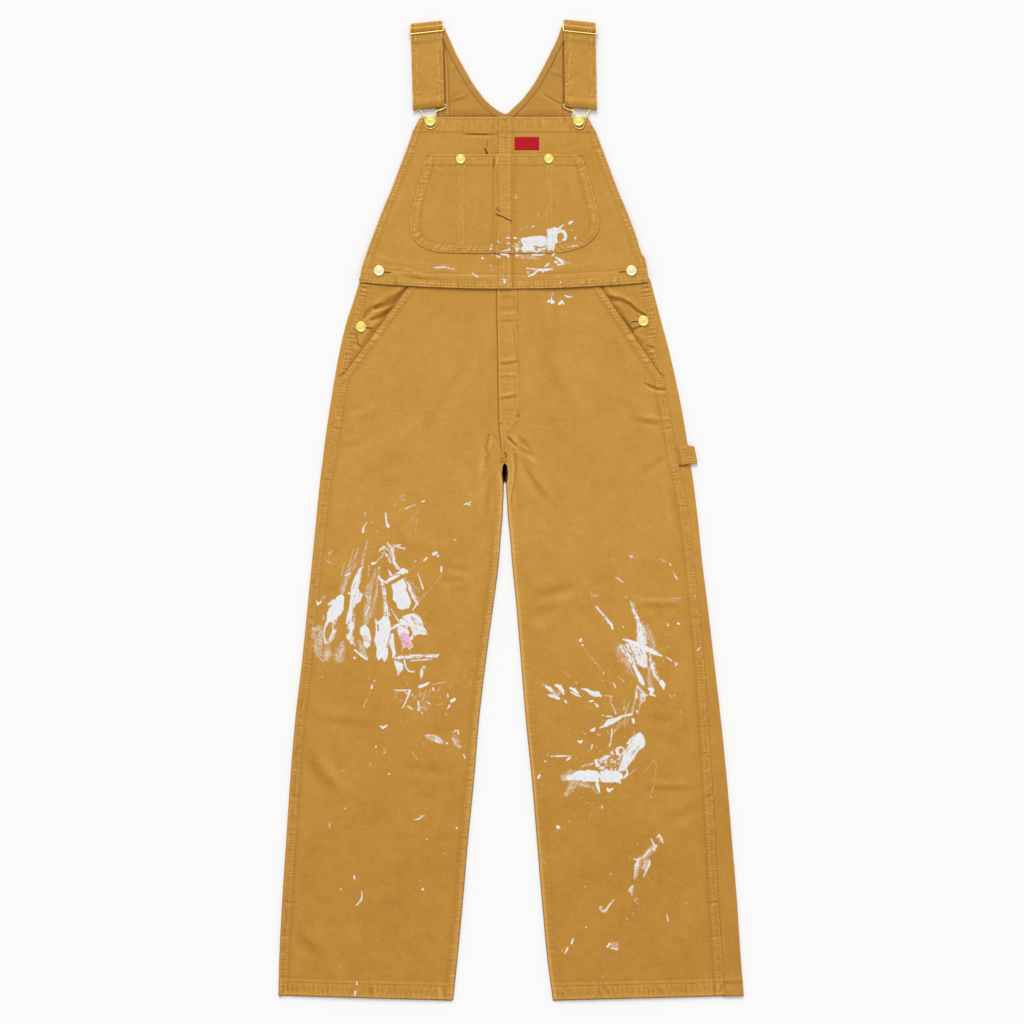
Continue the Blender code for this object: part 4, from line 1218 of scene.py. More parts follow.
def strap_path(lift):
    """Side view of a strap: over the shoulder, round the buckle, up to the slider."""
    low, mid, high = (GROUND_MIDDLE + layer * PLY for layer in (1, 2, 3))
    bar = BUCKLE_WIRE / 2 + GAP + CLOTH / 2
    bow = SLIDER_WIRE / 2 + GAP + CLOTH / 2
    middle = (FOLD_RADIUS + CLOTH / 2 - lift, GROUND_MIDDLE + FOLD_RADIUS)
    fold = arc(*middle, FOLD_RADIUS, 180, 360, 8)
    path = [(6.0, GROUND_MIDDLE)] + fold + [(BUCKLE_DOWN / 2, low)]
    path += arc(BUCKLE_DOWN, low + bar, bar, 180, 0, 10)
    path += [(119.6, low + 1.4 * bar), (111.6, mid), (70, mid), (31, mid), (25, high), (15.5, high)]
    path += arc(SLIDER_DOWN[0], mid + bow, bow, 40, -180, 12)
    return np.array(path + [(20, mid)])


def resample(path, step):
    """A line's points, moved to even steps along it."""
    run = run_length(path[:, 0], path[:, 1])
    fine = np.linspace(0, run[-1], int(run[-1] / step))
    return np.stack([np.interp(fine, run, path[:, at]) for at in range(2)], -1)


def strap_marks(path, across, grid, t):
    """Light and dark rows down a strap, part rubbing and part painted light and shade, its flecks and its
    shaded folds.
    """
    edge = STRAP_WIDTH / 2 - np.abs(across)
    marks = 0.5 * bump(edge, 0.4, 0.9) - 0.55 * bump(edge, 5.0, 0.8) - 0.62 * bump(edge, 11.0, 0.8)
    marks = marks + 0.35 * bump(edge, 6.6, 0.9) + 0.25 * bump(edge, 9.4, 0.8)
    marks = marks + 0.3 * bump(edge, 12.6, 0.8)
    place, t = np.meshgrid(across, t)
    flecks = noise(place, t, 2.3, 347, 2) * ramp(edge, 12.5, 11.0)[None]
    uneven = 0.8 + 0.5 * noise(place, t, 7, 349)
    # Painted light on the strap's ridges and painted shade in its hollows
    high = np.clip((grid - soften(grid, 1, 3)) * 1.6, -0.5, 0.5)
    down = path[:, :1]
    # Painted shade where the strap folds round the buckle, and a line of it across the strap at the slider
    folded = -0.95 * ramp(down, BUCKLE_DOWN - 10, BUCKLE_DOWN) - 0.6 * bump(down, 12.5, 1.8)
    return high + (marks[None] + 0.8 * flecks) * uneven + folded


def strap(side):
    """A strap, folded over the shoulder, the buckle and the slider."""
    step = 1.5
    path = resample(strap_path(STRAP_LIFT[side]), step)
    across = np.linspace(-STRAP_WIDTH / 2, STRAP_WIDTH / 2, 43)
    edge = STRAP_WIDTH / 2 - np.abs(across)
    t = np.arange(len(path)) * step
    run = np.gradient(path, axis=0)
    run /= np.linalg.norm(run, axis=1, keepdims=True)
    puff = 0.10 * np.sin(t / 6.8 * 2 * math.pi + 2 * np.sin(t / 31))
    rows = -0.2 * bump(edge, 5.0, 0.9) - 0.2 * bump(edge, 11.0, 0.9) - 0.35 * ramp(edge, 1.6, 0)
    place, far = np.meshgrid(across, t)
    lift = puff[:, None] * bump(edge, 5, 4) + rows + 0.2 * noise(place, far, 26, 341, 2)
    down = path[:, :1] - lift * run[:, 1:]
    z = path[:, 1:] + lift * run[:, :1]
    grid = np.stack(strap_point(side, place, down, z), -1)
    seam = np.repeat(ramp(edge, 12.0, 10.8)[None], len(path), 0)
    wear_and_shade = strap_marks(path, across, grid[:, :, 2], t)
    obj = walled("strap_cloth_" + side, grid.reshape(-1, 3), wear_and_shade.shape, wear_and_shade, seam,
                 ("strap_" + side,))


def step_from(x, y, heading, distance):
    """The place at a distance along a heading in radians."""
    return x + math.cos(heading) * distance, y + math.sin(heading) * distance


def tube(name, points, diameter, nodes):
    """A closed loop of round wire through the points, smoothed."""
    data = bpy.data.curves.new(name, "CURVE")
    data.dimensions = "3D"
    data.bevel_depth = diameter / 2 * MM
    data.bevel_resolution = 4
    data.resolution_u = 4
    data.use_fill_caps = True
    spline = data.splines.new("NURBS")
    spline.points.add(len(points) - 1)
    for point, place in zip(spline.points, points):
        point.co = (*(value * MM for value in place), 1.0)
    spline.use_cyclic_u = True
    spline.order_u = 3
    spline.use_endpoint_u = False
    data.materials.append(BRASS)
    return settle(linked(name, data), nodes)


def slider(side):
    """The wire slider, a flat ring over the strap's end."""
    half = STRAP_WIDTH / 2 + 1.4
    (upper, upper_z), (lower, lower_z) = (SLIDER_DOWN[0] - 1.5, 5.8), (SLIDER_DOWN[1] - 3.0, 7.3)
    quarter = ((half - 4, upper, upper_z), (half - 0.6, upper, upper_z), (half, upper + 0.6, upper_z),
               (half, lower - 0.6, lower_z), (half - 0.6, lower, lower_z), (half - 4, lower, lower_z))
    points = [strap_point(side, *place) for place in quarter]
    points += [strap_point(side, -across, down, z) for across, down, z in reversed(quarter)]
    return tube("slider_wire_" + side, points, SLIDER_WIRE - 0.8, ("slider_" + side,))


BUCKLE_HALF = (
    (20, 126.6, 4.4), (24.0, 126.6, 4.4), (25.6, 127.6, 4.4), (25.9, 129.8, 4.4),
    (24.9, 131.9, 4.4), (22.4, 132.8, 4.4), (18, 133.1, 4.4), (13.6, 133.3, 4.4),
    (10.6, 134.2, 4.6), (9.4, 136.6, 5.1), (9.7, 140, 5.7), (8.6, 145, 5.7),
    (7.9, 150, 5.7), (7.2, 154.6, 5.7), (5.4, 158.0, 5.7), (2.4, 159.6, 5.7),
)


def buckle(side):
    """The wire buckle, from the bar in the strap's fold to the loop on its button."""
    aside = (BIB_BUTTONS[side][0] - STRAPS[side][1]) * OUT[side]
    points = []
    for across, down, z in BUCKLE_HALF:
        lean = aside * float(ramp(down, 132, 150))
        # The wire hangs askew: its outer end stays up within the strap's fold
        kept = across - 5.0 * float(ramp(across, 12, 22))
        askew = down - 4.6 * float(ramp(across, 9, 15)) * float(ramp(down, 136, 134))
        points.append(strap_point(side, kept + lean, askew, z))
    for across, down, z in reversed(BUCKLE_HALF):
        lean = aside * float(ramp(down, 132, 150))
        points.append(strap_point(side, lean - across, down - 1.5 * (across > 19), z))
    return tube("buckle_wire_" + side, points, BUCKLE_WIRE - 0.8, ("buckle_" + side,))


def button(name, x, y, foot, diameter, lift):
    """A tack button: neck, faceted rim and a low dome."""
    radius, top = diameter / 2, lift + 1.6
    profile = ((0, top - 0.05), (0.34, top - 0.1), (0.5, top - 0.32), (0.56, top - 0.42),
               (0.64, top - 0.36), (0.76, top - 0.05), (0.86, top), (0.95, top - 0.25),
               (1.0, top - 0.8), (0.98, lift + 0.2), (0.92, lift), (0.34, lift), (0.34, 0))
    turns = 40
    points = [(x, y, foot + profile[0][1])]
    for share, z in profile[1:]:
        for step in range(turns):
            at = step_from(x, y, 2 * math.pi * step / turns, radius * share)
            points.append((*at, foot + z))
    faces = [(0, 1 + step, 1 + (step + 1) % turns) for step in range(turns)]
    for ring in range(len(profile) - 2):
        for step in range(turns):
            a, b = 1 + ring * turns + step, 1 + ring * turns + (step + 1) % turns
            faces.append((a, a + turns, b + turns, b))
    metal = PALE_BRASS if name.startswith("waist") else CAP_BRASS
    return settle(new_object(name + "_cap", points, faces, metal), (name,))


def hammer_loop():
    """A band over the side seam that bows out past the leg and leans down it."""
    bend = 2.25
    turn_x = LOOP_REACH - CLOTH / 2 - bend
    path = [(249.5, 5.3), (252, 6.1), (257, 6.2), (262, 5.6), (268, 5.1)]
    path += [(turn_x + bend * math.sin(turn), GROUND_MIDDLE + bend * (1 + math.cos(turn)))
             for turn in np.linspace(0, math.pi, 9)]
    path = resample(np.array(path + [(271.5, GROUND_MIDDLE)]), 1.1)
    x, y = path[:, :1], np.linspace(LOOP_TOP, LOOP_FOOT, 31)[None]
    upper = path[:, 1:] > GROUND_MIDDLE + bend
    top = 93.0 + 4.6 * ramp(x, 248, 259) - 2.2 * ramp(x, 262, 277)
    foot = 67.8 + 2.4 * ramp(x, 253, 270)
    height = foot + (top - foot) * (y - LOOP_FOOT) / (LOOP_TOP - LOOP_FOOT)
    edge = np.minimum(LOOP_TOP - y, y - LOOP_FOOT)
    lift = -0.35 * sum(bump(edge, row, 0.8) for row in (2.6, 6.4, 10.4))
    lift = lift + 0.20 * sum(bump(edge, row, 0.8) for row in (0.9, 4.4, 8.4))
    lift = lift - 0.4 * ramp(edge, 1.0, 0) - 0.7 * bump(x, 252.6, 1.5) * upper
    z = np.maximum(path[:, 1:] + lift * np.where(upper, 1, -1), GROUND_MIDDLE + 0.04)
    points = np.stack((x + 0.20 * (83 - height), height, z), -1)
    # Its colour follows its relief: raised rows painted lighter, the stitch grooves and its tacked end
    # painted darker as shade
    obj = walled("hammer_loop_cloth", points.reshape(-1, 3), lift.shape, lift * 1.5 + 0.12,
                 np.full(lift.shape, 0.7), ("hammer_loop",))


def label():
    """A bare red woven label."""
    left, right, foot, top = LABEL
    x, y = np.meshgrid(np.linspace(left, right, 44), np.linspace(top, foot, 30))
    d = np.minimum(np.minimum(x - left, right - x), np.minimum(y - foot, top - y))
    z = over_bib(x, y) + 0.75 + 0.2 * noise(x, y, 9, 351, 2)
    z = z - 0.35 * ramp(d, 1.2, 0) + 0.12 * bump(d, 2.4, 1)
    obj = cloth("label_cloth", x, y, layers(z), RED, ("label",), (3, 3))


# --- Paint ----------------------------------------------------------------
#
# Each stroke is a line of (x, y, half width). Solid paint covers, brushed
# paint is streaked, dry paint is broken up by the weave, a dab is mottled,
# thin paint lets the cloth through, and a gap takes paint away. Each stroke is
# placed one by one, in the garment's own millimetres, so no rule repeats them.

PAINT_STEP = 0.8                   # grid of the paint films
FAINTEST = 0.12                    # cover at which a film ends
ROUGH_RIM = {"solid": 0.16, "brush": 0.16, "dry": 0.24, "thin": 0.20, "dab": 0.20}
LEFT_HAND = (
    ("thin", (-219, -1, 1.2), (-219, -8, 1.0)),
    ("solid", (-216, -18, 0.8), (-221, -26, 1.3), (-222, -33, 1.8)),
    ("solid", (-188, -5, 1.3), (-187, -18, 1.1), (-184.5, -24, 2.6)),
    ("thin", (-156, -22, 0.5), (-148, -10, 0.6)),
    ("thin", (-141, -14, 0.6), (-142, -20, 0.9)),
    ("thin", (-143, -29, 1.2), (-143, -30, 1.2)),
    ("thin", (-202, -32, 0.9), (-201, -32, 0.9)),
    ("thin", (-128, -41, 1.0), (-127, -41, 1.0)),
    ("thin", (-84, -45, 1.3), (-83, -44, 1.3)),
    ("dry", (-197, -60, 1.8), (-191, -55, 1.6), (-184, -60, 1.4)),
    ("dry", (-192, -57, 1.2), (-186, -68, 1.6), (-180, -78, 2.0)),
    ("dry", (-185, -49, 1.6), (-178, -60, 3.8), (-176, -75, 2.8), (-170, -86, 3.2)),
    ("dry", (-178, -56, 2.6), (-167, -52, 1.6)),
    ("solid", (-172, -55, 1.1), (-159, -58, 1.0)),
    ("solid", (-184, -90, 0.9), (-178, -101, 2.6)),
    ("solid", (-186, -107, 1.6), (-178, -102, 3.0), (-170, -97, 2.8), (-162, -92, 4.6), (-156, -92, 2.6)),
    ("gap", (-183, -101, 0.5), (-172, -97, 0.5), (-163, -97, 0.7)),
    ("gap", (-180, -110, 0.9), (-170, -105, 0.9), (-160, -101, 0.8)),
    ("dry", (-160, -103, 2.6), (-152, -118, 3.6), (-146, -130, 3.6), (-140, -139, 3.0)),
    ("gap", (-157, -118, 0.8), (-148, -136, 1.1)),
    ("solid", (-140, -95, 0.5), (-135, -108, 1.0), (-132, -118, 1.2)),
    ("thin", (-152, -106, 0.7), (-138, -122, 0.8)),
    ("solid", (-147, -150, 1.0), (-140, -139, 1.1)),
    ("thin", (-140, -139, 1.0), (-120, -117, 0.7), (-103, -96, 0.5)),
    ("thin", (-155, -92, 0.8), (-143, -84, 0.7), (-125, -73, 0.5)),
    ("solid", (-131, -76, 1.1), (-126, -72, 1.5)),
    ("solid", (-116, -66, 2.4), (-112, -64, 2.2)),
    ("solid", (-109.5, -69, 1.8), (-109, -68.5, 1.8)),
    ("solid", (-104.5, -86, 1.5), (-104.5, -92, 1.5)),
    ("thin", (-93, -90, 1.3), (-92, -90, 1.2)),
    ("thin", (-145, -77, 1.2), (-143, -77, 1.2)),
    ("solid", (-180, -179, 1.5), (-172, -174, 2.2), (-165, -170, 2.2)),
    ("dry", (-160, -205, 2.2), (-163, -212, 1.0)),
    ("dry", (-147, -205, 2.0), (-152, -208, 1.6)),
    ("dry", (-197, -86, 1.8), (-199, -100, 2.2), (-193, -111, 2.6)),
    ("dry", (-193, -108, 2.4), (-190, -125, 2.8), (-188, -140, 3.4), (-186, -157, 5.0)),
    ("solid", (-196, -103, 1.2), (-186, -110, 1.2)),
    ("solid", (-180, -148, 0.7), (-168, -168, 1.1)),
    ("solid", (-178, -187, 2.4), (-178, -204, 3.2), (-175, -215, 2.6), (-177, -221, 1.6)),
    ("dry", (-178, -222, 1.5), (-165, -221, 3.2), (-150, -219.5, 3.0)),
    ("dry", (-150, -219.5, 3.0), (-120, -219, 2.4), (-112, -219.5, 3.0)),
    ("solid", (-112, -219, 2.6), (-108, -216.5, 1.0)),
    ("solid", (-160, -225, 1.2), (-158, -235, 1.2), (-153, -242, 1.3), (-145, -243, 1.0)),
    ("dry", (-150, -226, 1.0), (-120, -224, 1.0)),
    ("dry", (-131, -236, 3.0), (-134, -244, 2.6), (-134, -252, 1.2)),
    ("thin", (-215, -45, 1.0), (-219, -60, 1.6), (-223, -80, 2.6)),
    ("dry", (-238, -158, 3.6), (-240, -175, 5.0), (-243, -190, 4.4), (-238, -198, 3.0)),
    ("dry", (-238, -190, 1.6), (-234, -203, 1.8)),
    ("thin", (-228, -56, 0.9), (-234, -72, 1.3), (-240, -86, 1.8)),
    ("solid", (-249, -98, 1.0), (-243, -96, 1.3), (-240, -93, 0.6)),
    ("thin", (-240, -86, 1.4), (-246, -98, 2.6), (-249, -106, 3.0), (-253, -122, 3.2)),
    ("dry", (-246, -100, 1.0), (-247, -110, 1.2)),
    ("thin", (-236, -58, 0.8), (-242, -80, 1.0), (-248, -94, 1.0)),
    ("thin", (-232, -80, 1.0), (-244, -102, 1.6)),
    ("thin", (-250, -80, 0.6), (-254, -98, 1.0)),
    ("solid", (-273, -142, 2.0), (-266, -137, 3.2)),
    ("solid", (-275, -167, 2.4), (-279, -176, 1.5), (-281, -188, 0.9), (-278, -199, 1.6)),
    ("dry", (-264, -163, 3.2), (-266, -172, 2.4), (-265, -182, 3.2), (-269, -193, 3.4), (-276, -201, 3.0)),
    ("thin", (-286, -176, 3.2), (-296, -180, 2.8), (-297, -189, 2.8), (-290, -195, 3.0)),
    ("thin", (-285, -184, 5.0), (-290, -204, 6.6), (-288, -216, 5.4)),
    ("thin", (-277, -203, 4.4), (-275, -216, 6.2), (-277, -221, 5.0)),
    ("thin", (-252, -200, 2.8), (-255, -210, 5.4), (-258, -221, 6.8)),
    ("dry", (-252, -202, 1.4), (-254, -214, 2.0), (-256, -224, 1.6)),
    ("thin", (-262, -206, 0.8), (-264, -216, 0.8), (-263, -226, 0.9), (-258, -229, 1.0)),
    ("thin", (-258, -229, 1.0), (-252, -226, 0.8), (-250, -214, 0.7)),
    ("thin", (-287, -198, 0.8), (-289, -212, 0.8), (-287, -223, 0.9), (-281, -227, 1.1)),
    ("thin", (-281, -227, 1.1), (-275, -221, 0.9), (-273, -210, 0.7)),
    ("dry", (-296, -186, 1.0), (-298, -178, 0.9), (-290, -174, 0.9)),
    ("solid", (-291, -137, 1.2), (-290, -142, 1.5), (-285, -138, 1.5)),
    ("thin", (-285, -138, 1.6), (-280, -130, 1.2)),
    ("thin", (-281, -159, 1.6), (-281, -164, 1.0)),
    ("thin", (-276, -76, 0.8), (-270, -80, 1.1)),
    ("thin", (-273, -66, 1.1), (-269, -61, 0.7)),
    ("solid", (-243, -125.5, 1.6), (-242.5, -125, 1.6)),
    ("thin", (-228, -198, 3.0), (-222, -212, 4.0), (-217, -222, 2.6)),
    ("solid", (-234, -210, 1.4), (-226, -217, 1.8), (-216, -224, 1.6)),
    ("solid", (-235, -221.5, 1.8), (-234, -222, 1.5)),
    ("solid", (-208, -80.5, 1.8), (-203, -79.5, 1.4)),
    ("dry", (-202, -78, 0.9), (-194, -70, 1.0), (-191, -62, 0.9)),
    ("thin", (-213, -84, 1.0), (-214, -100, 1.0)),
    ("thin", (-203, -90, 1.6), (-208, -106, 2.2), (-212, -118, 2.8)),
    ("thin", (-214, -114, 3.0), (-212, -130, 4.2), (-216, -148, 4.6), (-217, -168, 4.0)),
    ("thin", (-201, -106, 1.4), (-202, -128, 2.2), (-207, -146, 3.0), (-211, -160, 3.0)),
    ("dry", (-219, -124, 1.0), (-215, -134, 1.6), (-213, -146, 1.6), (-219, -158, 1.4)),
    ("thin", (-204, -100, 1.0), (-212, -126, 1.2)),
    ("solid", (-205, -256.5, 1.2), (-204.5, -256, 1.2)),
    ("solid", (-208, -262, 0.9), (-209, -267, 1.8)),
    ("thin", (-211, -272, 0.5), (-216, -284, 0.5), (-222, -297, 0.9)),
    ("thin", (-212, -234, 1.1), (-212, -235, 1.1)),
)
LEFT_KNEE = (
    ("solid", (-137, -265, 2.4), (-128, -262, 2.0), (-123, -259, 1.0)),
    ("solid", (-176, -270, 0.7), (-166, -270.5, 1.0), (-150, -270, 1.0)),
    ("solid", (-152, -271, 1.7), (-154, -278, 1.5), (-158, -288, 1.0), (-163, -297, 0.8)),
    ("solid", (-155, -276, 1.2), (-160, -272, 0.8)),
    ("thin", (-171, -272, 0.7), (-173, -281, 0.9)),
    ("solid", (-147, -276, 0.8), (-149, -279, 0.8)),
    ("dry", (-139, -288, 1.4), (-138, -300, 1.6)),
    ("dry", (-135, -296, 2.0), (-127, -298, 2.0)),
    ("thin", (-134, -290, 0.7), (-127, -270, 0.7)),
    ("thin", (-128, -292, 0.7), (-121, -268, 0.7)),
    ("thin", (-136, -272, 1.3), (-137, -279, 1.3)),
    ("solid", (-126, -288, 1.0), (-121, -291, 1.1)),
    ("solid", (-117, -267, 1.3), (-116, -271, 1.1)),
    ("thin", (-146, -283, 1.2), (-142, -279, 1.0)),
    ("solid", (-134, -304, 1.2), (-133, -305, 1.2)),
    ("solid", (-155, -294, 1.0), (-148, -299, 1.0)),
    ("thin", (-118, -262, 0.7), (-98, -258, 0.6)),
    ("thin", (-92, -265, 0.9), (-91, -268, 0.9)),
    ("solid", (-95, -277, 1.2), (-94.5, -280, 1.1)),
    ("solid", (-89, -287, 2.2), (-85, -284, 2.3)),
    ("solid", (-95, -298, 0.9), (-92, -293, 1.4)),
    ("thin", (-111, -292, 0.8), (-103, -291, 0.8)),
    ("thin", (-108, -280, 0.9), (-106, -280, 0.9)),
    ("thin", (-110, -272, 0.6), (-106, -267, 0.6)),
    ("thin", (-166, -286, 0.9), (-165, -286, 0.9)),
    ("thin", (-98, -305, 0.8), (-97, -307, 0.8)),
    ("thin", (-62, -260, 0.9), (-61, -262, 0.9)),
    ("solid", (-196, -324, 1.1), (-192, -327, 1.9), (-186, -323, 1.0)),
    ("thin", (-126, -340, 2.4), (-114, -343, 5.0), (-104, -348, 2.4)),
    ("solid", (-128, -338, 0.8), (-118, -337.5, 0.7), (-108, -342, 0.8), (-102.5, -350, 0.8)),
    ("dry", (-122, -343, 1.2), (-112, -346, 2.2), (-104, -350, 1.0)),
    ("solid", (-96.5, -349.5, 1.6), (-96, -350, 1.6)),
    ("dry", (-88, -342, 1.2), (-84, -350, 2.0), (-77, -356, 2.4)),
    ("thin", (-86, -338, 1.4), (-79, -348, 2.2)),
    ("solid", (-86, -334, 0.8), (-83.5, -330.5, 0.9), (-79, -331, 1.1), (-79, -335.5, 1.3)),
    ("thin", (-190, -359, 1.2), (-188, -363, 1.3), (-191, -365, 0.9)),
    ("thin", (-251, -391, 0.9), (-250.5, -391, 0.9)),
    ("thin", (-234.5, -403, 0.8), (-234, -403, 0.8)),
    ("thin", (-148, -363, 0.8), (-141.5, -373, 0.9)),
    ("solid", (-71, -367, 0.8), (-69, -372, 1.2)),
    ("thin", (-132, -350, 0.9), (-131, -351, 0.9)),
    ("thin", (-113.5, -473.5, 1.1), (-113, -474, 1.0)),
    ("solid", (-133, -569, 1.2), (-132, -569.5, 1.2)),
    ("solid", (-255, -568.5, 1.0), (-254.5, -569, 1.0)),
    ("solid", (-249, -448, 0.7), (-248.5, -448, 0.7)),
    ("solid", (-272.5, -473.5, 0.9), (-272, -469, 0.6)),
    ("solid", (-203, -355.5, 1.4), (-202.5, -355, 1.4)),
    ("thin", (-211.5, -380, 1.0), (-211, -382, 1.0)),
    ("solid", (-183, -396, 1.2), (-182, -396, 1.2)),
    ("thin", (-187.5, -385, 0.8), (-187, -386, 0.8)),
    ("solid", (-235.5, -549, 1.0), (-234.5, -553, 1.2)),
    ("solid", (-223.7, -572, 0.7), (-223.5, -580, 1.1), (-225.5, -586, 1.4), (-232, -593, 0.7)),
    ("thin", (-256, -568, 1.0), (-255, -569, 1.0)),
    ("solid", (-81.5, -477, 1.5), (-81, -477, 1.5)),
    ("solid", (-145, -464.5, 0.6), (-138, -463.5, 1.0), (-133, -459, 0.8)),
    ("thin", (-136, -459, 1.8), (-131, -459, 1.6)),
    ("dry", (-128, -494, 1.2), (-124, -493, 1.2)),
    ("thin", (-100.5, -515, 0.9), (-99.5, -515, 0.9)),
    ("thin", (-142.5, -526, 0.8), (-142, -527, 0.8)),
    ("thin", (-137, -556, 0.8), (-136, -557, 0.8)),
    ("thin", (-132.5, -568, 1.2), (-131, -569, 1.2)),
    ("solid", (-231, -708, 0.9), (-231, -711, 1.1)),
    ("solid", (-233.5, -722, 1.3), (-234, -727, 1.3)),
    ("thin", (-257, -685, 0.8), (-256, -686, 0.8)),
    ("thin", (-250, -446, 0.8), (-248, -449, 0.8)),
    ("thin", (-272, -475, 0.8), (-271, -477, 0.8)),
    ("thin", (-166, 20, 0.7), (-160, 23, 0.8), (-157, 18, 0.8), (-161, 14, 0.7), (-166, 17, 0.7)),
    ("thin", (-175, 8, 0.9), (-171, 9, 0.9)),
    ("solid", (-159, 1, 0.7), (-152, 5, 0.6), (-144, 8, 0.6)),
    ("solid", (-134, 12, 0.9), (-130, 14, 1.2)),
    ("solid", (-71, 8, 0.9), (-66, 9.5, 1.2), (-61, 7, 0.9)),
    ("solid", (-64, 9.5, 1.0), (-60.5, 12, 1.1)),
    ("thin", (-59.7, 23, 1.0), (-59.5, 23.5, 0.9)),
    ("thin", (-150, -18, 0.6), (-138, 2, 0.5)),
)
